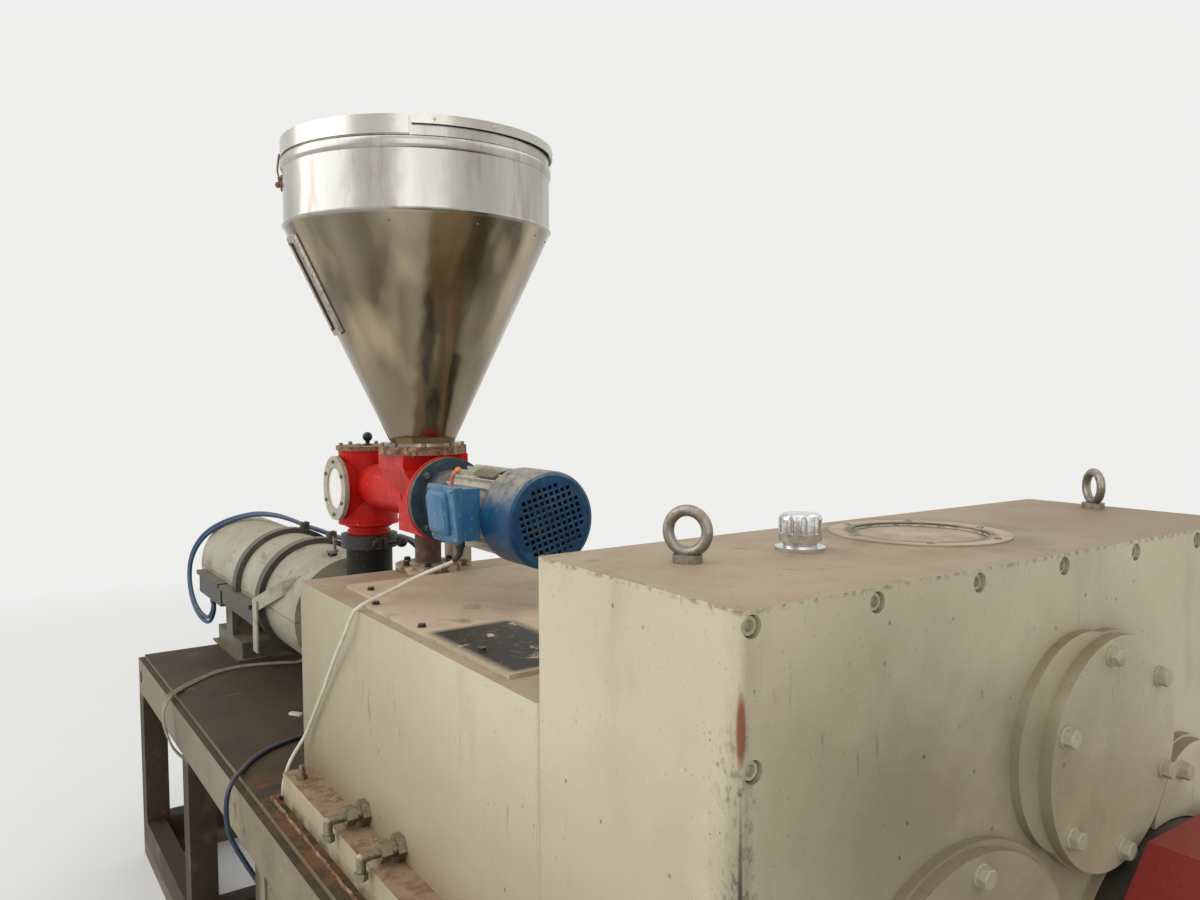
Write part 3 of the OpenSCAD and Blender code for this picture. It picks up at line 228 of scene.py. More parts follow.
def turned(profile, sides, flats=0):
    """Profile of (radius, height) turned about Z and closed by its two ends: radius times the unit
    circle, or with flats times 1 / cos(angle to the nearest flat). There the profile's third number
    cuts the corners down to that many times the chamfered corner, and 9 leaves them sharp."""
    profile = np.asarray(profile, float)
    angle = np.arange(sides) * 2 * math.pi / sides
    shape = np.ones(sides)
    if flats:
        sector = 2 * math.pi / flats
        shape = 1 / np.cos((angle + sector / 2) % sector - sector / 2)
    radius = profile[:, :1] * shape[None, :]
    if flats:
        cap = profile[:, :1] * CHAMFERED_CORNER
        radius = np.minimum(radius, np.where(profile[:, 2:3] > 0, cap * profile[:, 2:3], radius))
    x = radius * np.cos(angle)
    y = radius * np.sin(angle)
    z = np.broadcast_to(profile[:, 1:2], x.shape)
    points = np.stack([x, y, z], -1).reshape(-1, 3)
    return points, tube_faces(len(profile), sides)


def ring(profile, sides):
    """Closed profile of (radius, height), anticlockwise, turned about Z into a ring."""
    profile = np.asarray(profile, float)
    angle = np.arange(sides) * 2 * math.pi / sides
    x = profile[:, :1] * np.cos(angle)
    y = profile[:, :1] * np.sin(angle)
    z = np.broadcast_to(profile[:, 1:2], x.shape)
    points = np.stack([x, y, z], -1)
    points = np.concatenate([points, points[:1]]).reshape(-1, 3)
    faces = grid_faces(len(profile) + 1, sides)
    last = len(profile) * sides
    faces = np.where(faces >= last, faces - last, faces)
    return points[:last], [tuple(f) for f in faces]


def joined(parts):
    """Several (points, faces) as one."""
    points, faces, start = [], [], 0
    for p, f in parts:
        points.append(np.asarray(p, float))
        faces += [tuple(int(i) + start for i in face) for face in f]
        start += len(p)
    return np.concatenate(points), faces


def placed(shape, at, direction=(0, 0, 1), turn=0.0):
    """A shape made about Z, turned about it, tipped to point along direction and set at a place."""
    points, faces = shape
    tip = Vector(direction).to_track_quat("Z", "Y").to_matrix() @ Matrix.Rotation(turn, 3, "Z")
    return np.asarray(points) @ np.array(tip).T + np.asarray(at, float), faces


def prism(outline, depth, edge=0.0):
    """Outline of (x, y), anticlockwise, carried from z = 0 to depth, its top drawn in by the edge."""
    outline = np.asarray(outline, float)
    centre = outline.mean(0)
    reach = np.abs(outline - centre).max()
    inner = centre + (outline - centre) * (1 - edge / reach)
    levels = [(outline, 0.0), (outline, depth)]
    if edge:
        levels = [(outline, 0.0), (outline, depth - edge), (inner, depth)]
    points = np.concatenate([np.column_stack([o, np.full(len(o), z)]) for o, z in levels])
    return points, tube_faces(len(levels), len(outline))


def rounded(width, height, radius, steps=4):
    """Rectangle about the origin with quarter circles at its corners."""
    quarter = np.linspace(0, math.pi / 2, steps)
    corners = [(1, 1, 0), (-1, 1, 1), (-1, -1, 2), (1, -1, 3)]
    out = []
    for sx, sy, q in corners:
        a = quarter + q * math.pi / 2
        out.append(np.column_stack([sx * (width / 2 - radius) + radius * np.cos(a),
                                    sy * (height / 2 - radius) + radius * np.sin(a)]))
    return np.concatenate(out)


def smooth_path(route, steps):
    """The smooth curve through a route's points: a cubic from each point to the next whose slope
    at a point is half the step between its neighbours."""
    p = np.asarray(route, float)
    a = np.concatenate([p[:1], p[:-2]])
    b, c = p[:-1], p[1:]
    d = np.concatenate([p[2:], p[-1:]])
    t = (np.arange(steps) / steps)[None, :, None]
    a, b, c, d = (v[:, None, :] for v in (a, b, c, d))
    curve = 0.5 * (2 * b + (c - a) * t + (2 * a - 5 * b + 4 * c - d) * t**2 + (3 * b - a - 3 * c + d) * t**3)
    return np.concatenate([curve.reshape(-1, 3), p[-1:]])


def swept(path, radius, sides, squash=1.0):
    """Tube: a circle, or an ellipse of that squash, carried along a path, square to it and without
    twist, and closed at both ends."""
    path = np.asarray(path, float)
    heading = np.gradient(path, axis=0)
    heading /= np.linalg.norm(heading, axis=1)[:, None]
    normal = np.empty_like(path)
    n = np.cross(heading[0], [0.3, 0.5, 0.8])
    for i, h in enumerate(heading):
        n = n - n.dot(h) * h
        n /= np.linalg.norm(n)
        normal[i] = n
    across = np.cross(heading, normal)
    angle = np.arange(sides) * 2 * math.pi / sides
    radii = np.broadcast_to(np.asarray(radius, float), (len(path),))[:, None, None]
    rings = path[:, None, :] + radii * (np.cos(angle)[None, :, None] * normal[:, None, :]
                                        + squash * np.sin(angle)[None, :, None] * across[:, None, :])
    return rings.reshape(-1, 3), tube_faces(len(path), sides)


def hex_bolt(flats, height):
    """Hexagonal head with a turned chamfer, on a round washer."""
    half = flats / 2
    t = height * 0.28
    washer = [(half * 1.1, 0), (half * 1.3, 0), (half * 1.3, t * 0.8), (half * 1.22, t), (half * 0.9, t)]
    head = [(half, t, 9), (half, t + height * 0.72, 9), (half, t + height * 0.9, 1.0),
            (half * 0.88, t + height, 1.0), (half * 0.35, t + height, 1.0)]
    return joined([turned(washer, 24), turned(head, 24, flats=6)])


def socket_screw(head_r, height):
    """Socket cap screw: a profile of a round head with bevelled edges and a hole sunk in its top,
    turned about its axis."""
    hole = head_r * 0.52
    return turned([(head_r, 0), (head_r, height * 0.85), (head_r * 0.92, height), (hole * 1.16, height),
                   (hole, height * 0.45), (hole * 0.2, height * 0.4)], 24)


def dome_screw(head_r, height):
    """Round-headed screw: a quarter of an ellipse turned about its axis."""
    a = np.linspace(0.0, math.pi / 2 * 0.96, 6)
    return turned([(head_r * math.cos(v), height * math.sin(v)) for v in a], 20)


def on_plane(shape, origin, across, up):
    """A shape made about Z laid on a plane: its X goes across, its Y up, and its Z away from it."""
    points, faces = shape
    basis = np.array([across, up, np.cross(across, up)], float)
    return np.asarray(points) @ basis + np.asarray(origin, float), faces


def bent_plate(centre, radius, thickness, angles, x0, x1):
    """Plate bent round an axis along X: a flat rectangle's corners carried along an arc, whose
    angles run from -Y upwards."""
    steps = 14
    a = np.linspace(*np.radians(angles), steps)
    corners = np.array([(x0, radius), (x1, radius), (x1, radius + thickness), (x0, radius + thickness)])
    x = np.broadcast_to(corners[None, :, 0], (steps, 4))
    y = centre[1] - np.cos(a)[:, None] * corners[None, :, 1]
    z = centre[2] + np.sin(a)[:, None] * corners[None, :, 1]
    points = np.stack([x, y, z], -1).reshape(-1, 3)
    return points, tube_faces(steps, 4)


def ball(radius, flat=1.0):
    """Ball, or an ellipsoid of that flatness, as a half circle turned about Z."""
    t = np.linspace(-1.45, 1.45, 11)
    return turned(np.column_stack([radius * np.cos(t), radius * flat * (1 + np.sin(t))]), 20)


def cone_radius(z):
    """Outer radius of the hopper's cone at a height."""
    return DRUM_RADIUS - CONE_WIDENING * (high("hopper_cone")[2] - z)


# Finishes: node materials built up in layers on the object's own coordinates

def tone(red, green, blue):
    """Colour as seen on a screen, from 0 to 255, made linear for the shader."""
    c = np.array([red, green, blue]) / 255.0
    linear = np.where(c <= 0.04045, c / 12.92, ((c + 0.055) / 1.055) ** 2.4)
    return (*linear.tolist(), 1.0)


class Finish:
    """A material that starts from one colour and takes layers of dust, dirt, wear and rust."""

    def __init__(self, name, colour, roughness=0.5, metallic=0.0):
        """Starts the material; where it lies and which way it faces are read from the object."""
        self.material = bpy.data.materials.new(name)
        self.material.use_nodes = True
        self.nodes = self.material.node_tree.nodes
        self.links = self.material.node_tree.links
        self.shader = self.nodes["Principled BSDF"]
        self.shader.inputs["Metallic"].default_value = metallic
        self.where = self.nodes.new("ShaderNodeTexCoord").outputs["Object"]
        self.split = self.nodes.new("ShaderNodeSeparateXYZ")
        self.links.new(self.where, self.split.inputs[0])
        self.facing = self.nodes.new("ShaderNodeSeparateXYZ")
        self.links.new(self.nodes.new("ShaderNodeNewGeometry").outputs["Normal"], self.facing.inputs[0])
        self.colour = colour
        self.roughness = roughness
        self.height = None

    def feed(self, socket, value):
        """Links a socket to what feeds it, or sets it where that is a constant."""
        if isinstance(value, bpy.types.NodeSocket):
            self.links.new(value, socket)
        else:
            socket.default_value = value

    def noise(self, size, least, most, detail=4.0, stretch=(1, 1, 1), seed=0):
        """Mask of cloudy patches about that size in metres, from 0 below least to 1 above most."""
        mapping = self.nodes.new("ShaderNodeMapping")
        mapping.inputs["Scale"].default_value = stretch
        mapping.inputs["Location"].default_value = (seed, seed, seed)
        self.links.new(self.where, mapping.inputs[0])
        noise = self.nodes.new("ShaderNodeTexNoise")
        noise.inputs["Scale"].default_value = 1.0 / size
        noise.inputs["Detail"].default_value = detail
        noise.inputs["Roughness"].default_value = 0.6
        self.links.new(mapping.outputs[0], noise.inputs["Vector"])
        return self.ramp(noise.outputs["Fac"], least, most)

    def specks(self, spacing, size, share):
        """Mask of small round specks, one in each cell of that spacing, of which that share shows."""
        cells = self.nodes.new("ShaderNodeTexVoronoi")
        cells.inputs["Scale"].default_value = 1.0 / spacing
        self.links.new(self.where, cells.inputs["Vector"])
        dots = self.ramp(cells.outputs["Distance"], size, size * 0.55)
        pick = self.nodes.new("ShaderNodeSeparateColor")
        self.links.new(cells.outputs["Color"], pick.inputs[0])
        return self.both(dots, self.ramp(pick.outputs[0], share, share - 0.02))

    def ramp(self, value, least, most):
        """The value made to run from 0 at least to 1 at most, and held beyond."""
        node = self.nodes.new("ShaderNodeMapRange")
        node.inputs["From Min"].default_value = least
        node.inputs["From Max"].default_value = most
        self.links.new(value, node.inputs["Value"])
        return node.outputs[0]

    def both(self, *masks):
        """Masks multiplied together."""
        out = masks[0]
        for mask in masks[1:]:
            out = self.maths("MULTIPLY", out, mask)
        return out

    def maths(self, operation, a, b):
        """Result of a Math node on two values, each a socket or a number."""
        node = self.nodes.new("ShaderNodeMath")
        node.operation = operation
        self.feed(node.inputs[0], a)
        self.feed(node.inputs[1], b)
        return node.outputs[0]

    def part(self, axis, start, end, soft):
        """Mask of the stretch from start to end along an axis of the model."""
        value = self.split.outputs["XYZ".index(axis)]
        past_start = self.ramp(value, start - soft, start + soft)
        return self.both(past_start, self.ramp(value, end + soft, end - soft))

    def up(self, least=0.6, most=0.95):
        """Mask of what faces upwards."""
        return self.ramp(self.facing.outputs[2], least, most)

    def spot(self, centre, size, soft):
        """Mask of a soft ellipsoid about a centre."""
        out = None
        for i in range(3):
            d = self.maths("SUBTRACT", self.split.outputs[i], float(centre[i]))
            d = self.maths("DIVIDE", d, float(size[i]))
            d = self.maths("MULTIPLY", d, d)
            out = d if out is None else self.maths("ADD", out, d)
        return self.ramp(out, 1.0 + soft, max(0.0, 1.0 - soft))

    def disc(self, centre, radius, soft):
        """Mask of a round patch, seen from above, about a centre."""
        across = self.maths("SUBTRACT", self.split.outputs[0], float(centre[0]))
        along = self.maths("SUBTRACT", self.split.outputs[1], float(centre[1]))
        across = self.maths("MULTIPLY", across, across)
        along = self.maths("MULTIPLY", along, along)
        distance = self.maths("SQRT", self.maths("ADD", across, along), 0.0)
        return self.ramp(distance, radius + soft, radius - soft)

    def layer(self, colour, mask, strength, roughness=None):
        """Lays a colour over what is there, where the mask says and as strongly as told, and with it a
        roughness where one is given."""
        mask = self.maths("MULTIPLY", mask, strength)
        mix = self.nodes.new("ShaderNodeMix")
        mix.data_type = "RGBA"
        self.links.new(mask, mix.inputs["Factor"])
        self.feed(mix.inputs["A"], self.colour)
        mix.inputs["B"].default_value = colour
        self.colour = mix.outputs["Result"]
        if roughness is not None:
            blend = self.nodes.new("ShaderNodeMix")
            self.links.new(mask, blend.inputs["Factor"])
            self.feed(blend.inputs["A"], self.roughness)
            blend.inputs["B"].default_value = roughness
            self.roughness = blend.outputs["Result"]

    def bump(self, value, distance):
        """Adds relief of that depth in metres from a value between 0 and 1."""
        scaled = self.maths("MULTIPLY", value, distance)
        self.height = scaled if self.height is None else self.maths("ADD", self.height, scaled)

    def set(self, **inputs):
        """Constants on the shader's own sockets, such as coat_weight=0.3."""
        for key, value in inputs.items():
            self.shader.inputs[key.replace("_", " ").title().replace("Ior", "IOR")].default_value = value
        return self

    def done(self):
        """Links the colour, roughness and relief to the shader and gives the material."""
        self.feed(self.shader.inputs["Base Color"], self.colour)
        self.feed(self.shader.inputs["Roughness"], self.roughness)
        if self.height is not None:
            node = self.nodes.new("ShaderNodeBump")
            node.inputs["Strength"].default_value = 1.0
            node.inputs["Distance"].default_value = 1.0
            self.links.new(self.height, node.inputs["Height"])
            self.links.new(node.outputs[0], self.shader.inputs["Normal"])
        return self.material


# Colours of the dirt that is common to many pieces
DUST = tone(150, 128, 102)
GRIME = tone(62, 54, 42)
OIL = tone(46, 42, 35)
RUST = tone(118, 66, 36)
DARK_RUST = tone(72, 44, 28)


def housing_paint(colours):
    """Cream gearbox paint: cloudy, dusty brown on top, specked with dirt, rusty down one corner; painted
    shade darkens the near faces downwards and towards the die end, the far part of the top and the rear face
    round the covers.
    """
    f = Finish("housing_paint", tuple(colours.housing) + (1.0,), 0.46)
    f.layer(tone(214, 204, 178), f.noise(0.55, 0.42, 0.66), 0.5)
    f.layer(tone(168, 160, 132), f.noise(0.35, 0.5, 0.7, 6), 0.45)
    f.layer(tone(150, 140, 112), f.noise(0.10, 0.56, 0.72, 8, (1, 1, 0.3)), 0.35)
    top = f.up()
    f.layer(tone(154, 135, 109), top, 0.85, 0.72)
    f.layer(tone(140, 112, 84), f.both(top, f.noise(0.16, 0.45, 0.62, 6)), 0.55)
    f.layer(tone(186, 170, 144), f.both(top, f.noise(0.30, 0.55, 0.7, 5)), 0.5)
    f.layer(tone(96, 78, 58), f.both(top, f.noise(0.03, 0.62, 0.72, 6)), 0.5)
    near_side = f.ramp(f.facing.outputs[1], -0.6, -0.9)
    # Painted shade: the near faces darker downwards
    f.layer(tone(136, 119, 84), f.both(near_side, f.ramp(f.split.outputs[2], 1.22, 0.72)), 0.78)
    # Painted shade: the far part of the top, towards the motor, darker
    far_top_painted_shade = f.both(top, f.ramp(f.split.outputs[1], -0.2, 0.35), f.ramp(f.split.outputs[0], 0.45, 0.75))
    f.layer(tone(126, 108, 80), far_top_painted_shade, 0.7)
    # Painted shade: the near faces darker towards the die end
    f.layer(tone(132, 117, 84), f.both(near_side, f.ramp(f.split.outputs[0], 0.35, -0.5)), 0.65)
    # Painted shade in cloudy patches on the rear face round the covers
    covers_painted_shade = f.spot((HOUSING_FACE, HOUSING_SIDE + 0.42, 1.12), (0.06, 0.40, 0.30), 0.8)
    f.layer(tone(116, 106, 82), f.both(covers_painted_shade, f.noise(0.3, 0.2, 0.55, 4)), 0.65)
    smudge = f.spot((HOUSING_FACE, HOUSING_SIDE - 0.01, 0.98), (0.05, 0.03, 0.30), 0.9)
    f.layer(tone(50, 41, 30), f.both(smudge, f.noise(0.009, 0.5, 0.6, 8, (1, 1, 0.7)),
                                     f.noise(0.06, 0.36, 0.56, 4)), 0.85)
    smear = f.spot((HOUSING_FACE, HOUSING_SIDE - 0.005, 0.96), (0.024, 0.02, 0.30), 0.9)
    f.layer(tone(84, 74, 54), smear, 0.5)
    corner = f.spot((HOUSING_FACE, HOUSING_SIDE, 0.80), (0.0062, 0.0062, 0.46), 0.2)
    f.layer(tone(42, 32, 24), f.both(corner, f.noise(0.03, 0.2, 0.32, 4, (1, 1, 0.2))), 0.95)
    rusty = f.spot((HOUSING_FACE, HOUSING_SIDE, 1.300), (0.007, 0.007, 0.042), 0.4)
    f.layer(tone(122, 64, 24), f.both(rusty, f.noise(0.02, 0.3, 0.42, 6, (1, 1, 0.3))), 0.9, 0.8)
    rim = f.both(f.part("Z", GEARBOX_TOP - 0.005, GEARBOX_TOP + 0.01, 0.0025),
                 f.ramp(f.facing.outputs[2], 0.6, 0.3))
    f.layer(tone(92, 72, 52), f.both(rim, f.noise(0.012, 0.48, 0.6, 8)), 0.6)
    rear_edge = f.part("X", HOUSING_FACE - 0.07, HOUSING_FACE, 0.03)
    f.layer(tone(84, 70, 52), f.both(rear_edge, f.specks(0.009, 0.2, 0.35), f.noise(0.05, 0.5, 0.62, 6)), 0.8)
    port = middle("inspection_port")
    reach = high("inspection_port")[0] - port[0]
    by_port = f.disc(port, reach + 0.045, 0.03)
    f.layer(tone(104, 84, 62), f.both(top, by_port, f.noise(0.06, 0.4, 0.6, 6)), 0.55)
    f.layer(GRIME, f.both(f.specks(0.028, 0.13, 0.35), f.noise(0.2, 0.42, 0.6)), 0.75)
    f.layer(tone(120, 108, 84), f.specks(0.011, 0.16, 0.3), 0.4)
    f.layer(DARK_RUST, f.both(f.specks(0.09, 0.055, 0.4), f.noise(0.3, 0.45, 0.6)), 0.9)
    drips = f.both(f.noise(0.012, 0.64, 0.72, 3, (1, 1, 0.12)), f.noise(0.25, 0.5, 0.62))
    f.layer(tone(90, 72, 52), drips, 0.5)
    f.bump(f.noise(0.006, 0.3, 0.7, 2), 0.00025)
    f.bump(f.noise(0.12, 0.2, 0.8, 3), 0.0008)
    return f.set(coat_weight=0.05, coat_roughness=0.35).done()


def base_paint(colours):
    """Pale grey-green paint of the base, grimy and darkened by painted shade on top, with painted shade under
    the table, and rusty in patches.
    """
    f = Finish("base_paint", tuple(colours.base) + (1.0,), 0.55)
    f.layer(tone(146, 138, 112), f.noise(0.5, 0.45, 0.65), 0.4)
    f.layer(tone(84, 74, 54), f.noise(0.3, 0.48, 0.68, 7), 0.55)
    top = f.up()
    # Grime and painted shade: what faces up made dark brown
    f.layer(tone(62, 49, 29), top, 0.93, 0.75)
    f.layer(tone(50, 40, 29), f.both(top, f.noise(0.22, 0.46, 0.62, 8)), 0.75)
    # Painted shade: the parts under the table made dark
    legs_painted_shade = f.both(f.part("Z", 0.05, low("table_beams")[2] - 0.005, 0.01), f.part("X", -2.1, -0.45, 0.02))
    f.layer(tone(52, 42, 27), f.both(legs_painted_shade, f.noise(0.2, 0.15, 0.45, 5)), 0.9, 0.7)
    f.layer(tone(124, 110, 86), f.both(top, f.noise(0.12, 0.6, 0.72, 6)), 0.5)
    near = f.both(f.part("X", -0.62, 0.55, 0.08), f.part("Y", low("table_plate")[1], SCREW_Y - 0.28, 0.03))
    f.layer(tone(126, 84, 50), f.both(near, f.noise(0.05, 0.44, 0.6, 8)), 0.8, 0.85)
    f.layer(tone(214, 196, 166), f.both(near, f.noise(0.09, 0.6, 0.68, 6)), 0.6)
    f.layer(RUST, f.both(f.noise(0.05, 0.62, 0.68, 8), f.noise(0.5, 0.5, 0.6)), 0.8, 0.85)
    f.layer(DARK_RUST, f.both(f.specks(0.05, 0.09, 0.35), f.noise(0.35, 0.5, 0.62)), 0.85)
    f.layer(GRIME, f.both(f.specks(0.02, 0.15, 0.4), f.noise(0.2, 0.45, 0.62)), 0.6)
    f.layer(tone(70, 60, 44), f.both(f.part("Z", -0.01, 0.07, 0.03), f.noise(0.06, 0.35, 0.6, 6)), 0.7)
    f.bump(f.noise(0.006, 0.3, 0.7, 2), 0.0003)
    return f.set(coat_weight=0.02, coat_roughness=0.4, specular_ior_level=0.3).done()


def access_plate_paint(colours):
    """Paint of the access plates: the box's own, with a dark greasy patch on the rear one."""
    f = Finish("access_plate_paint", tuple(colours.housing) + (1.0,), 0.5)
    f.layer(tone(192, 169, 142), f.up(), 0.9, 0.7)
    f.layer(tone(154, 130, 102), f.noise(0.12, 0.48, 0.66, 6), 0.5)
    f.layer(tone(194, 176, 150), f.noise(0.2, 0.54, 0.7, 5), 0.5)
    edge = f.noise(0.05, 0.3, 0.75, 5)
    start, end = low("access_plates")[0] + 0.50, low("access_plates")[0] + 0.80
    patch = f.both(f.part("X", start, end, 0.012), f.part("Y", SCREW_Y - 0.275, SCREW_Y - 0.11, 0.012))
    f.layer(tone(38, 34, 27), f.both(patch, f.ramp(edge, 0.05, 0.2)), 0.98, 0.45)
    f.layer(tone(110, 104, 92), f.both(patch, f.noise(0.018, 0.56, 0.66, 6)), 0.5, 0.4)
    f.layer(OIL, f.both(f.noise(0.07, 0.58, 0.68, 8), f.part("X", start - 0.15, end + 0.1, 0.06)), 0.6)
    f.layer(GRIME, f.specks(0.02, 0.16, 0.4), 0.6)
    f.bump(f.noise(0.008, 0.3, 0.7, 3), 0.0003)
    return f.done()


def cover_paint(colours):
    """Pale grey-green paint of the barrel covers, scuffed and streaked with dirt round the barrel."""
    f = Finish("cover_paint", tuple(colours.covers) + (1.0,), 0.5)
    f.layer(tone(176, 174, 154), f.noise(0.3, 0.45, 0.65, 5), 0.5)
    f.layer(tone(118, 114, 92), f.noise(0.14, 0.46, 0.66, 8), 0.65)
    f.layer(tone(142, 130, 102), f.up(0.7, 1.0), 0.4, 0.7)
    f.layer(tone(88, 80, 62), f.noise(0.05, 0.58, 0.68, 8, (0.4, 1, 1)), 0.55)
    f.layer(GRIME, f.specks(0.017, 0.15, 0.35), 0.6)
    f.layer(RUST, f.specks(0.08, 0.09, 0.3), 0.8)
    f.bump(f.noise(0.05, 0.3, 0.7, 3), 0.0006)
    return f.done()


def foot_paint():
    """Barrel's foot: greenish grey paint, dark with oil and dirt."""
    f = Finish("foot_paint", tone(98, 93, 74), 0.5)
    f.layer(tone(72, 67, 52), f.noise(0.08, 0.46, 0.64, 6), 0.7)
    f.layer(tone(128, 120, 96), f.noise(0.05, 0.58, 0.7, 6), 0.5)
    f.layer(OIL, f.noise(0.04, 0.58, 0.68, 8), 0.6)
    f.layer(DUST, f.up(0.5, 1.0), 0.3, 0.75)
    f.bump(f.noise(0.006, 0.3, 0.7, 3), 0.0003)
    return f.done()


def feed_tube_steel():
    """Feed tube: nearly black oiled steel with a few brown patches."""
    f = Finish("feed_tube_steel", tone(10, 8, 7), 0.55)
    f.layer(tone(52, 44, 36), f.noise(0.05, 0.5, 0.68, 6), 0.5, 0.6)
    f.layer(tone(84, 70, 54), f.noise(0.02, 0.6, 0.7, 8), 0.4, 0.7)
    f.layer(tone(96, 84, 66), f.up(0.5, 1.0), 0.3, 0.7)
    f.bump(f.noise(0.004, 0.3, 0.7, 3), 0.0003)
    return f.set(specular_ior_level=0.25).done()


def dark_steel():
    """Oiled dark steel with dusty faces and brown rust."""
    f = Finish("dark_steel", tone(48, 45, 40), 0.45, 0.35)
    f.layer(tone(92, 86, 72), f.noise(0.06, 0.5, 0.7, 6), 0.5, 0.65)
    f.layer(tone(104, 90, 70), f.up(0.5, 1.0), 0.35, 0.7)
    f.layer(DARK_RUST, f.noise(0.03, 0.6, 0.7, 8), 0.6, 0.8)
    f.layer(tone(24, 22, 19), f.noise(0.12, 0.58, 0.7, 4), 0.6)
    f.bump(f.noise(0.004, 0.3, 0.7, 3), 0.0003)
    return f.done()


def band_steel():
    """Dark grey bands and boxes with a grey-brown dusty skin."""
    f = Finish("band_steel", tone(62, 59, 52), 0.5, 0.2)
    f.layer(tone(98, 92, 80), f.noise(0.08, 0.45, 0.65, 6), 0.6, 0.65)
    f.layer(tone(128, 118, 98), f.up(0.3, 1.0), 0.45, 0.75)
    f.layer(tone(34, 31, 26), f.noise(0.03, 0.6, 0.7, 8), 0.6)
    f.bump(f.noise(0.006, 0.3, 0.7, 3), 0.0003)
    return f.done()


def feeder_red(colours):
    """Glossy red casting paint: paler where it is worn and dusty, with chips down to grey metal."""
    f = Finish("feeder_red", tuple(colours.feeder) + (1.0,), 0.34)
    f.layer(tone(208, 44, 30), f.noise(0.05, 0.48, 0.66, 5), 0.4)
    f.layer(tone(140, 12, 10), f.noise(0.07, 0.55, 0.7, 4), 0.5)
    f.layer(tone(190, 96, 74), f.up(0.6, 1.0), 0.3, 0.55)
    f.layer(tone(214, 182, 164), f.both(f.noise(0.010, 0.62, 0.7, 6), f.noise(0.08, 0.52, 0.62)), 0.6, 0.5)
    f.layer(tone(96, 84, 74), f.both(f.specks(0.016, 0.17, 0.3), f.noise(0.06, 0.5, 0.6)), 0.8, 0.6)
    f.layer(tone(70, 40, 32), f.noise(0.02, 0.68, 0.75, 8), 0.6)
    f.bump(f.noise(0.005, 0.3, 0.7, 3), 0.0004)
    f.bump(f.noise(0.03, 0.3, 0.7, 3), 0.0008)
    return f.set(coat_weight=0.03, coat_roughness=0.2, specular_ior_level=0.12).done()


def rusty_steel():
    """Bare steel plate, orange-brown with rust over pale metal."""
    f = Finish("rusty_steel", tone(132, 96, 66), 0.65, 0.2)
    f.layer(tone(176, 150, 112), f.noise(0.03, 0.48, 0.6, 6), 0.75)
    f.layer(tone(78, 44, 28), f.noise(0.02, 0.48, 0.6, 8), 0.85)
    f.layer(tone(206, 190, 160), f.noise(0.012, 0.62, 0.7, 5), 0.6, 0.45)
    f.layer(tone(60, 38, 26), f.specks(0.012, 0.2, 0.4), 0.7)
    f.bump(f.noise(0.003, 0.3, 0.7, 5), 0.0005)
    return f.done()


def ring_paint():
    """Creamy paint of the sight ring and the drum's lid, with red smears and dirt."""
    f = Finish("ring_paint", tone(168, 158, 138), 0.45)
    f.layer(tone(128, 116, 96), f.noise(0.03, 0.48, 0.64, 6), 0.6)
    f.layer(tone(186, 74, 60), f.both(f.noise(0.025, 0.6, 0.68, 6), f.up(-0.3, 0.6)), 0.6)
    f.layer(GRIME, f.specks(0.012, 0.18, 0.4), 0.7)
    f.layer(tone(120, 92, 66), f.noise(0.012, 0.64, 0.72, 4), 0.6)
    f.bump(f.noise(0.004, 0.3, 0.7, 3), 0.0003)
    return f.set(coat_weight=0.2, coat_roughness=0.25).done()


def clouded_glass():
    """White clouded sight glass with a thin film of powder inside it."""
    f = Finish("sight_glass", tone(232, 228, 212), 0.16)
    f.layer(tone(246, 244, 234), f.noise(0.03, 0.4, 0.62, 5), 0.7)
    f.layer(tone(206, 198, 176), f.noise(0.015, 0.58, 0.7, 5), 0.4)
    return f.set(coat_weight=1.0, coat_roughness=0.03).done()


def stainless():
    """Polished stainless sheet: mirror-like with fine rolled lines, scuffs and a brown film of powder on
    the cone, wiped into upright streaks and thicker downwards."""
    f = Finish("stainless", tone(188, 186, 178), 0.22, 1.0)
    foot, head = low("hopper_cone")[2], high("hopper_cone")[2]
    cone = f.part("Z", foot, head, 0.004)
    deep = f.ramp(f.split.outputs[2], foot + (head - foot) * 0.98, foot + (head - foot) * 0.15)
    wiped = f.noise(0.15, 0.36, 0.66, 1.5, (1, 1, 0.06))
    rubbed = f.noise(0.10, 0.50, 0.68, 1.5, (1, 1, 0.05), seed=7)
    drum = f.maths("SUBTRACT", 1.0, cone)
    f.layer(tone(150, 134, 108), cone, 0.80, 0.15)
    f.layer(tone(70, 58, 44), f.both(cone, wiped), 0.75, 0.15)
    f.layer(tone(206, 188, 156), f.both(cone, rubbed), 0.60, 0.13)
    f.layer(tone(104, 84, 62), f.both(cone, deep), 0.35, 0.2)
    f.layer(tone(152, 152, 146), f.both(drum, f.noise(0.16, 0.44, 0.6, 4, (1, 1, 0.15))), 0.6, 0.32)
    f.layer(tone(140, 112, 84), f.both(drum, f.noise(0.05, 0.56, 0.7, 5, (1, 1, 0.15), seed=4)), 0.45, 0.35)
    f.layer(tone(150, 116, 82), f.both(cone, f.noise(0.016, 0.6, 0.7, 8), f.noise(0.3, 0.4, 0.6)), 0.25, 0.3)
    f.layer(tone(54, 44, 34), f.specks(0.02, 0.1, 0.15), 0.4, 0.4)
    f.bump(f.noise(0.0035, 0.3, 0.7, 2, (1, 1, 0.02)), 0.00004)
    f.bump(f.noise(0.14, 0.3, 0.7, 2), 0.0016)
    return f.set(anisotropic=0.25).done()


def lid_steel():
    """Hopper's lid: smooth stainless sheet with a faint film of powder and a few smears."""
    f = Finish("lid_steel", tone(190, 187, 178), 0.24, 1.0)
    f.layer(tone(166, 156, 138), f.noise(0.12, 0.48, 0.66, 4), 0.5, 0.24)
    f.layer(tone(150, 122, 92), f.noise(0.05, 0.62, 0.74, 5), 0.35, 0.35)
    f.bump(f.noise(0.0035, 0.3, 0.7, 2, (0.05, 1, 1)), 0.00003)
    return f.set(anisotropic=0.2).done()


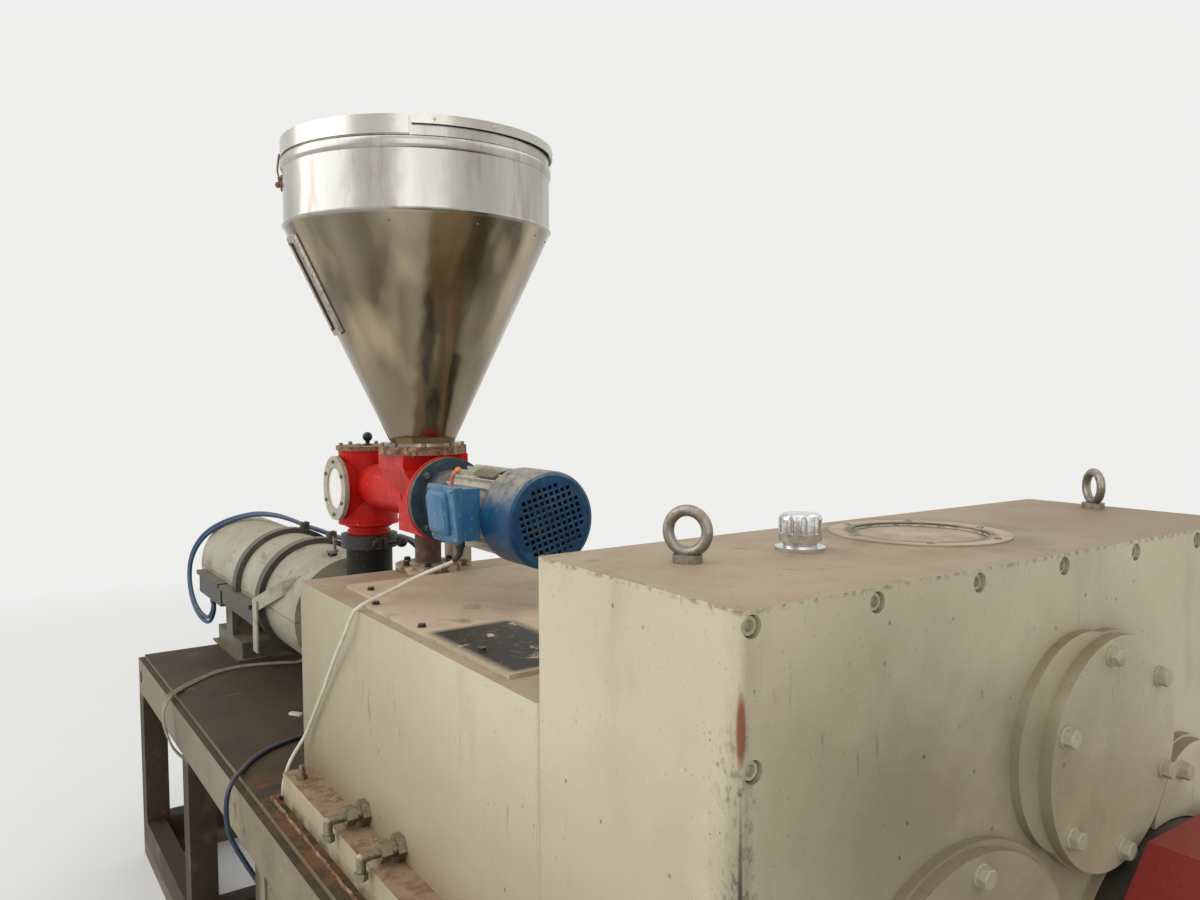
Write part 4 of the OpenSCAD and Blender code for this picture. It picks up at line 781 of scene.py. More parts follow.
def motor_blue(colours):
    """Blue motor enamel with brown dust on what faces up, and darker patches here and there."""
    f = Finish("motor_blue", tuple(colours.motor) + (1.0,), 0.34)
    f.layer(tone(14, 92, 136), f.noise(0.05, 0.48, 0.66, 5), 0.5)
    f.layer(tone(4, 52, 86), f.noise(0.04, 0.54, 0.7, 5), 0.5)
    f.layer(tone(176, 164, 144), f.both(f.up(0.2, 0.85), f.noise(0.02, 0.22, 0.58, 6)), 0.92, 0.75)
    f.layer(tone(120, 132, 132), f.both(f.up(-0.2, 0.5), f.noise(0.04, 0.5, 0.66, 7)), 0.55, 0.6)
    f.layer(tone(120, 96, 72), f.specks(0.012, 0.16, 0.4), 0.6)
    f.bump(f.noise(0.004, 0.3, 0.7, 3), 0.0003)
    return f.set(coat_weight=0.06, coat_roughness=0.25, specular_ior_level=0.3).done()


def box_blue():
    """Feeder motor's terminal box: paler, chalky blue, rubbed grey on the lid's face and edges."""
    f = Finish("box_blue", tone(46, 102, 142), 0.42)
    f.layer(tone(84, 124, 148), f.noise(0.05, 0.42, 0.62, 5), 0.6)
    f.layer(tone(18, 78, 122), f.noise(0.04, 0.54, 0.68, 5), 0.55)
    f.layer(tone(176, 190, 196), f.noise(0.012, 0.62, 0.72, 6), 0.6, 0.5)
    f.layer(tone(150, 148, 136), f.up(0.4, 0.95), 0.5, 0.7)
    f.layer(GRIME, f.specks(0.014, 0.14, 0.3), 0.5)
    f.bump(f.noise(0.004, 0.3, 0.7, 3), 0.0003)
    return f.set(coat_weight=0.06, coat_roughness=0.25, specular_ior_level=0.3).done()


def stator_finish(colours):
    """Feeder motor: dark teal flange and neck, bare dusty fins, and blue where the cowl starts."""
    f = Finish("stator_finish", tuple(colours.motor) + (1.0,), 0.4)
    x0, x1 = low("feeder_motor")[0], high("feeder_motor")[0]
    fins = f.part("X", x0 + 0.145, x1 - 0.022, 0.002)
    f.layer(tone(38, 56, 66), f.part("X", x0 - 0.01, x0 + 0.135, 0.003), 0.95, 0.4)
    f.layer(tone(150, 132, 108), f.part("X", x0 - 0.01, x0 + 0.0035, 0.0015), 0.8, 0.6)
    f.layer(tone(196, 192, 174), fins, 0.95, 0.5)
    f.layer(tone(140, 140, 128), f.both(fins, f.noise(0.03, 0.5, 0.66, 6)), 0.5)
    f.layer(tone(60, 84, 98), f.both(fins, f.noise(0.02, 0.6, 0.7, 6)), 0.6)
    f.layer(tone(152, 138, 116), f.both(f.up(0.3, 0.95), f.noise(0.03, 0.3, 0.6, 6)), 0.6, 0.75)
    flange = f.part("X", x0 - 0.01, x0 + 0.02, 0.003)
    f.layer(tone(104, 116, 112), f.both(flange, f.noise(0.03, 0.5, 0.7, 6)), 0.35)
    f.layer(GRIME, f.specks(0.012, 0.17, 0.4), 0.6)
    f.bump(f.noise(0.004, 0.3, 0.7, 3), 0.0003)
    return f.done()


def plain_paint(name, colour, worn, dirt, roughness=0.4, coat=0.1, dust=0.35):
    """Paint of one colour with worn and dirty patches, for the smaller pieces."""
    f = Finish(name, colour, roughness)
    f.layer(worn, f.noise(0.06, 0.5, 0.68, 6), 0.45)
    f.layer(dirt, f.noise(0.03, 0.56, 0.7, 8), 0.5, 0.7)
    f.layer(DUST, f.up(0.5, 1.0), dust, 0.75)
    f.layer(GRIME, f.specks(0.016, 0.15, 0.35), 0.6)
    f.bump(f.noise(0.005, 0.3, 0.7, 3), 0.0003)
    return f.set(coat_weight=coat, coat_roughness=0.25, specular_ior_level=0.3).done()


def post_paint():
    """Feeder's post: a cream flange with rust running off it, a dark rusty round post and a cream
    square one."""
    f = Finish("post_paint", tone(190, 178, 150), 0.5)
    f.layer(tone(160, 142, 112), f.noise(0.04, 0.5, 0.68, 6), 0.6)
    foot = high("access_plates")[2] + 0.010
    post = f.both(f.spot((DIST_X0 + POST_INSET, SCREW_Y, foot + 0.085), (0.036, 0.036, 0.4), 0.1),
                  f.part("Z", foot, foot + 0.5, 0.004))
    f.layer(tone(74, 50, 38), post, 0.95, 0.7)
    f.layer(tone(120, 88, 66), f.both(post, f.noise(0.02, 0.52, 0.62, 6)), 0.8)
    f.layer(tone(44, 32, 26), f.both(post, f.noise(0.03, 0.56, 0.64, 6)), 0.8)
    flange = f.part("Z", DIST_TOP - 0.01, foot, 0.003)
    f.layer(tone(150, 118, 84), f.both(flange, f.up(0.7, 1.0)), 0.8)
    f.layer(tone(96, 56, 34), f.both(flange, f.noise(0.035, 0.5, 0.58, 6)), 0.85, 0.8)
    f.layer(tone(206, 196, 168), f.both(flange, f.noise(0.02, 0.6, 0.68, 5)), 0.6)
    f.layer(GRIME, f.specks(0.015, 0.16, 0.4), 0.6)
    f.bump(f.noise(0.005, 0.3, 0.7, 3), 0.0003)
    return f.done()


def port_paint():
    """Inspection port: dusty paint, with a dark greasy joint between the ring and the lid."""
    f = Finish("port_paint", tone(172, 152, 126), 0.6)
    f.layer(tone(138, 114, 90), f.noise(0.08, 0.45, 0.62, 6), 0.7)
    f.layer(tone(190, 172, 146), f.noise(0.05, 0.58, 0.7, 6), 0.5)
    centre = middle("inspection_port")
    lid_r = high("inspection_port")[0] - centre[0] - PORT_RING_WIDTH
    around = f.disc(centre, lid_r + 0.010, 0.004)
    joint = f.both(around, f.maths("SUBTRACT", 1.0, f.disc(centre, lid_r - 0.010, 0.006)))
    f.layer(tone(66, 54, 42), f.both(joint, f.noise(0.05, 0.3, 0.5, 4)), 0.85, 0.5)
    f.layer(GRIME, f.specks(0.018, 0.17, 0.4), 0.7)
    f.bump(f.noise(0.006, 0.3, 0.7, 3), 0.0003)
    return f.done()


def manifold_paint():
    """Manifold block: painted cream, its top brown with dirt and rust."""
    f = Finish("manifold_paint", tone(176, 164, 134), 0.55)
    f.layer(tone(150, 134, 104), f.noise(0.12, 0.48, 0.66, 6), 0.6)
    top = f.up()
    f.layer(tone(142, 118, 90), top, 0.9, 0.75)
    f.layer(tone(108, 72, 46), f.both(top, f.noise(0.05, 0.48, 0.6, 8)), 0.7, 0.85)
    f.layer(tone(196, 180, 152), f.both(top, f.noise(0.035, 0.6, 0.68, 5)), 0.5)
    table = low("manifold_block")[2]
    foot = f.part("Z", table - 0.01, table + 0.02, 0.01)
    f.layer(tone(74, 56, 40), f.both(foot, f.noise(0.05, 0.4, 0.6, 6)), 0.7)
    f.layer(GRIME, f.specks(0.018, 0.16, 0.4), 0.6)
    f.bump(f.noise(0.006, 0.3, 0.7, 3), 0.0003)
    return f.done()


def bare_metal(name, colour, roughness, rust, amount=0.5):
    """Bare bright or dull metal with fine scratches and some rust."""
    f = Finish(name, colour, roughness, 1.0)
    f.layer(tone(90, 84, 74), f.noise(0.012, 0.5, 0.66, 6), 0.5, roughness + 0.15)
    f.layer(rust, f.noise(0.008, 0.56, 0.68, 8), amount, 0.7)
    f.bump(f.noise(0.002, 0.3, 0.7, 3, (1, 1, 0.2)), 0.00012)
    return f.done()


def cord_finish(name, colour, dirt, roughness):
    """Smooth sheath of a cord or hose, with dust and rubbed dirt along it."""
    f = Finish(name, colour, roughness)
    f.layer(dirt, f.noise(0.03, 0.5, 0.66, 6), 0.5, roughness + 0.2)
    f.layer(DUST, f.up(0.4, 1.0), 0.25, 0.8)
    f.layer(GRIME, f.specks(0.012, 0.16, 0.4), 0.5)
    f.bump(f.noise(0.003, 0.3, 0.7, 2), 0.0001)
    return f.done()


def stage_finish(pale):
    """Pale floor with the faintest unevenness, which fades to the sight into the backdrop's level some
    metres from the machine."""
    f = Finish("stage_floor", (0.80, 0.80, 0.79, 1.0), 0.75)
    f.layer((0.76, 0.76, 0.75, 1.0), f.noise(1.5, 0.4, 0.7), 0.5)
    far = f.maths("SUBTRACT", 1.0, f.disc((-0.3, -0.3), 4.6, 2.6))
    path = f.nodes.new("ShaderNodeLightPath")
    seen = f.maths("MAXIMUM", path.outputs["Is Camera Ray"], path.outputs["Is Glossy Ray"])
    seen = f.maths("MAXIMUM", seen, path.outputs["Is Transmission Ray"])
    backdrop = f.nodes.new("ShaderNodeEmission")
    backdrop.inputs["Color"].default_value = (1.0, 1.0, 0.99, 1.0)
    backdrop.inputs["Strength"].default_value = pale
    mix = f.nodes.new("ShaderNodeMixShader")
    f.links.new(f.both(far, seen), mix.inputs[0])
    f.links.new(f.shader.outputs[0], mix.inputs[1])
    f.links.new(backdrop.outputs[0], mix.inputs[2])
    f.links.new(mix.outputs[0], f.nodes["Material Output"].inputs["Surface"])
    return f.done()


# Finish of each node that doesn't simply take its record slot's finish
NODE_FINISH = {
    "access_plates": "access_plate_paint",
    "barrel_foot": "foot_paint",
    "feed_tube": "feed_tube_steel",
    "terminal_box": "box_blue",
    "cover_bands": "band_steel",
    "eye_bolts": "eye_steel",
    "oil_fittings": "fitting_steel",
    "inspection_port": "port_paint",
    "heater_boxes": "band_steel",
    "discharge_lid": "rusty_steel",
    "manifold_block": "manifold_paint",
    "feeder_motor": "stator_finish",
    "feeder_post": "post_paint",
    "main_motor": "motor_blue",
    "lid_fixed": "lid_steel",
    "lid_hinged": "lid_steel",
}

# Paints of the smaller pieces: colour, worn colour, dirt, roughness, coat and dust
PLAIN_PAINTS = {
    "guard_red": (tone(128, 20, 17), tone(146, 34, 27), tone(78, 16, 13), 0.5, 0.02, 0.12),
    "black_steel": (tone(34, 34, 35), tone(60, 58, 55), tone(80, 64, 48), 0.5),
    "cover_bolt_paint": (tone(176, 168, 142), tone(196, 190, 168), tone(104, 84, 60), 0.5),
    "pale_red": (tone(196, 110, 96), tone(214, 150, 130), tone(120, 60, 50)),
    "yellow_plastic": (tone(232, 150, 44), tone(240, 176, 80), tone(150, 90, 40)),
}

# Bare metals: colour, roughness, rust and its amount
BARE_METALS = {
    "eye_steel": (tone(150, 142, 130), 0.45, tone(120, 96, 74), 0.6),
    "fitting_steel": (tone(150, 140, 120), 0.42, tone(104, 82, 60), 0.7),
    "chrome": (tone(214, 214, 214), 0.08, tone(150, 140, 124), 0.15),
    "bolt_steel": (tone(128, 122, 112), 0.42, tone(92, 66, 46)),
    "strip_steel": (tone(158, 150, 136), 0.3, tone(120, 98, 76), 0.4),
    "plate_steel": (tone(196, 190, 172), 0.4, tone(120, 140, 150)),
}

# Sheaths of cords and hoses, and other smooth plastic: colour, dirt and roughness
SHEATHS = {
    "white_plastic": (tone(214, 208, 190), tone(170, 158, 134), 0.38),
    "sleeve_rubber": (tone(40, 40, 42), tone(76, 70, 62), 0.6),
    "blue_rubber": (tone(26, 62, 98), tone(70, 84, 92), 0.45),
    "dark_hose": (tone(24, 44, 66), tone(66, 70, 70), 0.45),
    "grey_plastic": (tone(150, 142, 122), tone(96, 88, 72), 0.5),
    "yellow_glass": (tone(150, 126, 80), tone(110, 90, 60), 0.2),
}

# Every finish by its name, once make_finishes has run; a record slot of the same name takes it
FINISHES = {}


def make_finishes(colours):
    """Makes every finish and files it under its name."""
    FINISHES.update({
        "base_paint": base_paint(colours),
        "housing_paint": housing_paint(colours),
        "access_plate_paint": access_plate_paint(colours),
        "manifold_paint": manifold_paint(),
        "port_paint": port_paint(),
        "cover_paint": cover_paint(colours),
        "dark_steel": dark_steel(),
        "foot_paint": foot_paint(),
        "feed_tube_steel": feed_tube_steel(),
        "box_blue": box_blue(),
        "band_steel": band_steel(),
        "feeder_red": feeder_red(colours),
        "rusty_steel": rusty_steel(),
        "ring_paint": ring_paint(),
        "sight_glass": clouded_glass(),
        "stainless": stainless(),
        "lid_steel": lid_steel(),
        "motor_blue": motor_blue(colours),
        "stator_finish": stator_finish(colours),
        "post_paint": post_paint(),
    })
    for make, table in ((plain_paint, PLAIN_PAINTS), (bare_metal, BARE_METALS), (cord_finish, SHEATHS)):
        for name, values in table.items():
            FINISHES[name] = make(name, *values)


# Settings, one group for each part of the dressing

def metres(name, description, default, least=0.0, most=10.0):
    """Setting of a length in metres."""
    return FloatProperty(name=name, description=description, default=default, min=least, max=most,
                         unit="LENGTH", subtype="DISTANCE")


def degrees(name, description, default):
    """Setting of an angle, its default in degrees."""
    return FloatProperty(name=name, description=description, default=math.radians(default), unit="ROTATION",
                         subtype="ANGLE")


def watts(name, description, default):
    """Setting of a lamp's power in watts."""
    return FloatProperty(name=name, description=description, default=default, min=0, unit="POWER")


def paint(name, description, default):
    """Setting of a linear colour."""
    return FloatVectorProperty(name=name, description=description, default=default, min=0.0, max=1.0,
                               size=3, subtype="COLOR")


class FinishSettings(bpy.types.PropertyGroup):
    """Colours of the paints"""
    base: paint("Base", "Paint of the base, linear", tone(122, 112, 88)[:3])
    housing: paint("Gearboxes", "Paint of the gearboxes, linear", tone(198, 186, 156)[:3])
    covers: paint("Barrel covers", "Paint of the barrel's covers, linear", tone(154, 150, 128)[:3])
    feeder: paint("Feeder", "Paint of the feeder's castings, linear", tone(190, 28, 20)[:3])
    motor: paint("Motors", "Paint of the motors, linear", tone(8, 60, 96)[:3])


class CordSettings(bpy.types.PropertyGroup):
    """Radii and fineness of the cords"""
    lead: metres("Motor lead", "Radius of the feeder motor's lead", 0.004)
    table_hose: metres("Table hose", "Radius of the hose under the barrel", 0.006)
    cooling: metres("Cooling hoses", "Radius of the hoses along the barrel", 0.007)
    wire: metres("Heater wires", "Radius of the heaters' wires", 0.003)
    steps: IntProperty(name="Steps", description="Rings between two points of a route", default=6, min=2,
                       max=12)
    sides: IntProperty(name="Sides", description="Sides of a cord", default=16, min=8, max=32)


class FasteningSettings(bpy.types.PropertyGroup):
    """Sizes of the bolts across their flats"""
    cover_flats: metres("Cover bolts", "Across the flats of the bearing covers' bolts", 0.024)
    flange_flats: metres("Flange bolts", "Across the flats of the input flange's bolts", 0.030)
    plate_flats: metres("Plate bolts", "Across the flats of the access plates' bolts", 0.013)
    small_flats: metres("Feeder bolts", "Across the flats of the feeder's bolts", 0.010)
    anchor_flats: metres("Anchor nuts", "Across the flats of the anchor bolts' nuts", 0.030)
    rail_flats: metres("Rail bolts", "Across the flats of the motor rails' bolts", 0.018)


class HopperSettings(bpy.types.PropertyGroup):
    """Level window and latch of the hopper"""
    window_width: metres("Window width", "Width of the level window's strip", 0.080)
    window_low: metres("Window foot", "Height of the strip's lower end above the floor", 1.792)
    window_high: metres("Window head", "Height of the strip's upper end above the floor", 2.016)
    window_angle: degrees("Window angle", "Where the strip stands round the cone", -97)
    latch_angle: degrees("Latch angle", "Where the lid's latch stands round the drum", -110)


class StageSettings(bpy.types.PropertyGroup):
    """Lamps, surroundings and floor"""
    key: watts("Key light", "Power of the key light", 312)
    fill: watts("Fill light", "Power of the fill light", 80)
    sky: FloatProperty(name="Sky", description="Strength of the pale surroundings", default=0.5, min=0)
    pale: FloatProperty(name="Backdrop", description="Level that the camera sees behind the machine",
                        default=0.86, min=0)
    floor_radius: metres("Floor radius", "Radius of the floor's disc", 9.0, 1.0, 40.0)


class ExtruderSettings(bpy.types.PropertyGroup):
    """All settings of the dressing"""
    finishes: PointerProperty(type=FinishSettings)
    cords: PointerProperty(type=CordSettings)
    fastenings: PointerProperty(type=FasteningSettings)
    hopper: PointerProperty(type=HopperSettings)
    stage: PointerProperty(type=StageSettings)


# Routes of the cords, in millimetres across from the screws' centreline, as the model has them

LEAD_ROUTE = [
    (-50, -128, 1343), (-53, -129, 1327), (-65, -135, 1314), (-87, -149, 1302), (-114, -172, 1287),
    (-134, -200, 1271), (-142, -232, 1256), (-142, -266, 1244), (-139, -296, 1234), (-144, -315, 1220),
    (-160, -321, 1194), (-187, -323, 1161), (-238, -322, 1112), (-290, -319, 1062), (-335, -318, 1013),
    (-380, -318, 965), (-425, -318, 918), (-458, -320, 880), (-480, -328, 850), (-490, -340, 825),
    (-493, -352, 800), (-494, -360, 775), (-494, -364, 755), (-494, -365, 735),
]
TABLE_HOSE_ROUTE = [
    (-883, 0, 862), (-883, -2, 830), (-884, -9, 798), (-883, -26, 768), (-880, -56, 746),
    (-874, -96, 735), (-866, -140, 733.5), (-852, -200, 733.5), (-832, -260, 733.5), (-800, -318, 733.5),
    (-755, -366, 733.5), (-705, -400, 735), (-664, -424, 738), (-634, -444, 734), (-617, -458, 716),
    (-609, -464, 688), (-604, -464, 655), (-598, -459, 622), (-591, -447, 591), (-583, -433, 562),
    (-571, -418, 532), (-556, -405, 506), (-537, -397, 488), (-520, -395, 481), (-505, -395, 480),
]
COOLING_ROUTE = [
    (-545, 130, 1150), (-580, 130, 1150), (-640, 129, 1159), (-710, 124, 1182), (-780, 116, 1208),
    (-840, 112, 1228), (-900, 110, 1238), (-970, 108, 1232), (-1050, 105, 1216), (-1150, 103, 1195),
    (-1250, 101, 1180), (-1358, 100, 1175), (-1500, 100, 1175), (-1638, 98, 1176), (-1760, 90, 1178),
    (-1870, 70, 1188), (-1960, 35, 1196), (-2040, -10, 1193), (-2110, -60, 1174), (-2170, -110, 1144),
    (-2215, -152, 1105), (-2240, -182, 1058), (-2244, -202, 1006), (-2230, -211, 954), (-2196, -214, 905),
    (-2150, -212, 864), (-2095, -206, 838), (-2038, -199, 828), (-2002, -194, 834), (-1979, -190, 851),
    (-1966, -187, 873), (-1965, -187, 894),
]
COOLING_SPREAD = [
    (0, 18, -4), (0, 18, -4), (0, 18, -5), (0, 17, -6), (0, 17, -7),
    (0, 17, -7), (0, 17, -7), (0, 16, -8), (0, 16, -9), (0, 16, -9),
    (0, 15, -10), (0, 15, -9), (0, 15, -9), (0, 15, -9), (0, 16, -8),
    (-3, 17, -6), (-7, 16, 0), (-9, 14, 5), (-10, 12, 9), (-12, 8, 11),
    (-14, 4, 11), (-17, 0, 6), (-18, 0, 0), (-17, 0, -6), (-15, 0, -11),
    (-9, 0, -16), (-3, 0, -18), (2, 0, -18), (8, 0, -16), (14, 0, -11),
    (17, 0, -5), (18, 0, 0),
]
WIRE_ROUTE = [
    (-1560, 40, 812), (-1561, 39, 790), (-1564, 34, 764), (-1572, 21, 742), (-1585, 0, 731),
    (-1603, -32, 730.5), (-1623, -78, 730.5), (-1640, -132, 730.5), (-1646, -190, 730.5),
    (-1632, -245, 730.5), (-1600, -295, 730.5), (-1558, -342, 730.5), (-1515, -382, 731),
    (-1470, -414, 734), (-1432, -440, 734), (-1407, -456, 721), (-1393, -463, 699), (-1386, -464, 671),
    (-1379, -460, 643), (-1369, -452, 617), (-1355, -442, 594), (-1338, -427, 574), (-1318, -411, 558),
    (-1308, -403, 551), (-1298, -400, 550),
]
WIRE_SPREAD = [
    (8, 0, 0), (8, 0, 0), (8, 0, 0), (8, -1, 0), (8, -2, 0),
    (9, -3, 0), (9, -3, 0), (9, -2, 0), (10, 1, 0),
    (9, 4, 0), (7, 6, 0), (6, 7, 0), (5, 7, 0),
    (5, 7, 0), (5, 7, 1), (6, 5, 3), (8, 1, 3), (8, 0, 2),
    (8, 0, 3), (8, -1, 3), (7, -3, 4), (6, -4, 4), (4, -5, 5),
    (2, -6, 5), (0, -7, 5),
]


def lay_cord(name, route, spread, count, radius, slot, finish, settings):
    """Tube along a route that is moved across by its spread count times: circles of the cord's
    radius, each square to the smooth curve through the route's points."""
    points = np.asarray(route, float) + count * np.asarray(spread, float)
    points = points / 1000 + [0, SCREW_Y, 0]
    path = smooth_path(points, settings.steps)
    shape = swept(path, radius, settings.sides)
    obj = build(name + "_cord", *shape, ROOT, slot, FINISHES[finish], 60)
    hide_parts(name)


def bolts(name, places, shape, slot, finish, body=ROOT):
    """One piece of a fastener's shape set at each place, given as (point, direction, turn)."""
    parts = [placed(shape, at, direction, turn) for at, direction, turn in places]
    build(name, *joined(parts), body, slot, FINISHES[finish], 30)


def on_rear(at, radius, angles, x):
    """Places round a centre (across, up) of the gearbox's rear face, pointing backwards."""
    out = []
    for i, a in enumerate(np.radians(angles)):
        point = (x, SCREW_Y + at[0] + radius * math.cos(a), AXIS_Z + at[1] + radius * math.sin(a))
        out.append((point, (1, 0, 0), 0.4 * i))
    return out


def circle_places(centre, radius, angles, normal, across, up):
    """Places round a centre in the plane of two directions, pointing along the normal."""
    out = []
    for i, a in enumerate(np.radians(angles)):
        reach = math.cos(a) * np.asarray(across) + math.sin(a) * np.asarray(up)
        out.append((np.asarray(centre) + radius * reach, normal, 0.55 * i))
    return out


def clear_of(place, centre, radius):
    """Whether a place on the rear face lies outside a circle round a centre (across, up)."""
    return math.hypot(place[0][1] - SCREW_Y - centre[0], place[0][2] - AXIS_Z - centre[1]) > radius


def step(start, count):
    """Angles in degrees, evenly round from a start."""
    return [start + i * 360.0 / count for i in range(count)]


# Stage

def place_camera(scene):
    """Camera that looks towards the die end, turned from +Y, dipped and rolled as the photo's was."""
    level = math.cos(CAMERA_DIP)
    ahead = Vector((-math.sin(CAMERA_TURN) * level, math.cos(CAMERA_TURN) * level, -math.sin(CAMERA_DIP)))
    right = ahead.cross(Vector((0, 0, 1))).normalized()
    above = right.cross(ahead)
    rolled = math.cos(CAMERA_ROLL) * right + math.sin(CAMERA_ROLL) * above
    above = math.cos(CAMERA_ROLL) * above - math.sin(CAMERA_ROLL) * right
    data = bpy.data.cameras.new("camera")
    data.lens = CAMERA_LENS
    data.sensor_width = SENSOR_WIDTH
    data.clip_start = 0.05
    camera = bpy.data.objects.new("camera", data)
    turn = Matrix((rolled, above, -ahead)).transposed().to_4x4()
    camera.matrix_world = Matrix.Translation(CAMERA_AT) @ turn
    scene.collection.objects.link(camera)
    scene.camera = camera


def build_floor(radius):
    """Floor: a disc of rings whose height is a wide shallow wave of a tenth of a millimetre, set so
    that its highest point lies just under the machine."""
    sides, rings = 96, 24
    a = np.arange(sides) * 2 * math.pi / sides
    r = np.linspace(radius / rings, radius, rings)
    x, y = r[:, None] * np.cos(a), r[:, None] * np.sin(a)
    z = 0.0001 * (np.sin(x * 1.7) * np.cos(y * 1.3)) - 0.0002
    points = np.stack([x, y, z], -1).reshape(-1, 3)
    faces = [tuple(f) for f in grid_faces(rings, sides)]
    faces.append(tuple(range(sides - 1, -1, -1)))
    mesh = bpy.data.meshes.new("floor")
    mesh.from_pydata(points.tolist(), [], [tuple(int(i) for i in f[::-1]) for f in faces])
    mesh.update()
    mesh.materials.append(stage_finish(bpy.context.scene.extruder.stage.pale))
    floor = bpy.data.objects.new("floor", mesh)
    bpy.context.scene.collection.objects.link(floor)
    return floor


def area_light(name, at, towards, size, energy):
    """Adds a square soft light that faces a point."""
    data = bpy.data.lights.new(name, "AREA")
    data.size = size
    data.energy = energy
    lamp = bpy.data.objects.new(name, data)
    lamp.location = at
    lamp.rotation_mode = "QUATERNION"
    lamp.rotation_quaternion = (Vector(towards) - Vector(at)).to_track_quat("-Z", "Y")
    bpy.context.scene.collection.objects.link(lamp)


def surroundings(scene, strength, pale):
    """Even grey surroundings, which look paler to the camera, in metal and through glass."""
    world = bpy.data.worlds.new("surroundings")
    world.use_nodes = True
    nodes, links = world.node_tree.nodes, world.node_tree.links
    background = nodes["Background"]
    path = nodes.new("ShaderNodeLightPath")
    mix = nodes.new("ShaderNodeMix")
    mix.inputs["A"].default_value = strength
    mix.inputs["B"].default_value = pale
    seen = path.outputs["Is Camera Ray"]
    for kind in ("Is Glossy Ray", "Is Transmission Ray"):
        either = nodes.new("ShaderNodeMath")
        either.operation = "MAXIMUM"
        links.new(seen, either.inputs[0])
        links.new(path.outputs[kind], either.inputs[1])
        seen = either.outputs[0]
    links.new(seen, mix.inputs["Factor"])
    links.new(mix.outputs["Result"], background.inputs["Strength"])
    background.inputs["Color"].default_value = (1.0, 1.0, 0.99, 1.0)
    scene.world = world
    scene.view_settings.view_transform = "Standard"


# The operators

class EXTRUDER_OT_finishes(bpy.types.Operator):
    """Makes the finishes and gives each node of the model its own"""
    bl_idname = "extruder.finishes"
    bl_label = "Finishes"

    def execute(self, context):
        make_finishes(context.scene.extruder.finishes)
        slots = {part["node"]: part["material_slot"] for part in frame["record"]["subparts"]}
        for name, obj in frame["nodes"].items():
            finish = FINISHES[NODE_FINISH.get(name, slots[name])]
            obj.data.materials.clear()
            obj.data.materials.append(finish)
            obj.data.polygons.foreach_set("material_index", np.zeros(len(obj.data.polygons), np.int32))
        return {"FINISHED"}


class EXTRUDER_OT_stage(bpy.types.Operator):
    """Camera at the photo's angle, floor, soft lights and pale surroundings"""
    bl_idname = "extruder.stage"
    bl_label = "Stage"

    def execute(self, context):
        s = context.scene.extruder.stage
        scene = context.scene
        place_camera(scene)
        floor = build_floor(s.floor_radius)
        area_light("key_light", *KEY_LIGHT, s.key)
        area_light("side_light", *SIDE_LIGHT, s.fill)
        area_light("top_light", *TOP_LIGHT, s.fill * TOP_SHARE)
        surroundings(scene, s.sky, s.pale)
        return {"FINISHED"}


class EXTRUDER_OT_cords(bpy.types.Operator):
    """Lays the leads, hoses and wires along their routes"""
    bl_idname = "extruder.cords"
    bl_label = "Cords"

    def execute(self, context):
        s = context.scene.extruder.cords
        still = np.zeros(3)
        lay_cord("feeder_lead", LEAD_ROUTE, still, 0, s.lead, "white_plastic", "white_plastic", s)
        lay_cord("table_hose", TABLE_HOSE_ROUTE, still, 0, s.table_hose, "blue_rubber", "dark_hose",
                 s)
        for i in range(2):
            lay_cord(f"cooling_hose_{i + 1}", COOLING_ROUTE, COOLING_SPREAD, i, s.cooling, "blue_rubber",
                     "blue_rubber", s)
        for i in range(3):
            lay_cord(f"heater_wire_{i + 1}", WIRE_ROUTE, WIRE_SPREAD, i, s.wire, "grey_plastic",
                     "grey_plastic", s)
        return {"FINISHED"}


class EXTRUDER_OT_gearbox_fastenings(bpy.types.Operator):
    """Bolts of the bearing covers and the input flange, screws in the counterbores, dowel pin"""
    bl_idname = "extruder.gearbox_fastenings"
    bl_label = "Gearbox fastenings"

    def execute(self, context):
        s = context.scene.extruder.fastenings
        face = high("bearing_covers")[0]
        bolt = hex_bolt(s.cover_flats, s.cover_flats * 0.52)
        for name, centre, radius, start in (("large_cover_bolts", LARGE_COVER, LARGE_COVER_BOLTS, 39),
                                            ("low_cover_bolts", LOW_COVER, LOW_COVER_BOLTS, 27)):
            places = on_rear(centre, radius, step(start, 6), face)
            bolts(name, places, bolt, "housing_paint", "cover_bolt_paint")
        places = [place for place in on_rear(SMALL_COVER, SMALL_COVER_BOLTS, step(117, 6), face)
                  if clear_of(place, LARGE_COVER, LARGE_COVER_R + s.cover_flats)
                  and clear_of(place, INPUT_FLANGE, INPUT_FLANGE_R + s.cover_flats)]
        bolts("small_cover_bolts", places, bolt, "housing_paint", "cover_bolt_paint")
        flange_face = low("coupling_guard")[0] - 0.006
        places = on_rear(INPUT_FLANGE, INPUT_FLANGE_BOLTS, step(112, 8), flange_face)
        bolts("input_flange_bolts", places, socket_screw(0.012, 0.005), "bolt_steel", "bolt_steel")
        x = low("bearing_covers")[0] - PAD_DEPTH - COUNTERBORE_DEPTH
        z = GEARBOX_TOP - 0.018
        places = [((x, HOUSING_SIDE + 0.015 + SCREW_STEP_ACROSS * i, z), (1, 0, 0), 0.3 * i)
                  for i in range(6)]
        places += [((x, HOUSING_SIDE + 0.018, z - SCREW_STEP_DOWN * i), (1, 0, 0), 0.5 * i)
                   for i in range(1, 6)]
        bolts("counterbore_screws", places, socket_screw(0.0115, 0.012), "housing_paint", "cover_bolt_paint")
        dowel = turned([(0.008, -0.0005), (0.008, 0.0012), (0.0065, 0.0018), (0.0015, 0.0018)], 20)
        bolts("dowel_pin", on_rear(DOWEL_PIN, 0.0, [0], low("bearing_covers")[0]), dowel, "bolt_steel",
              "bolt_steel")
        return {"FINISHED"}


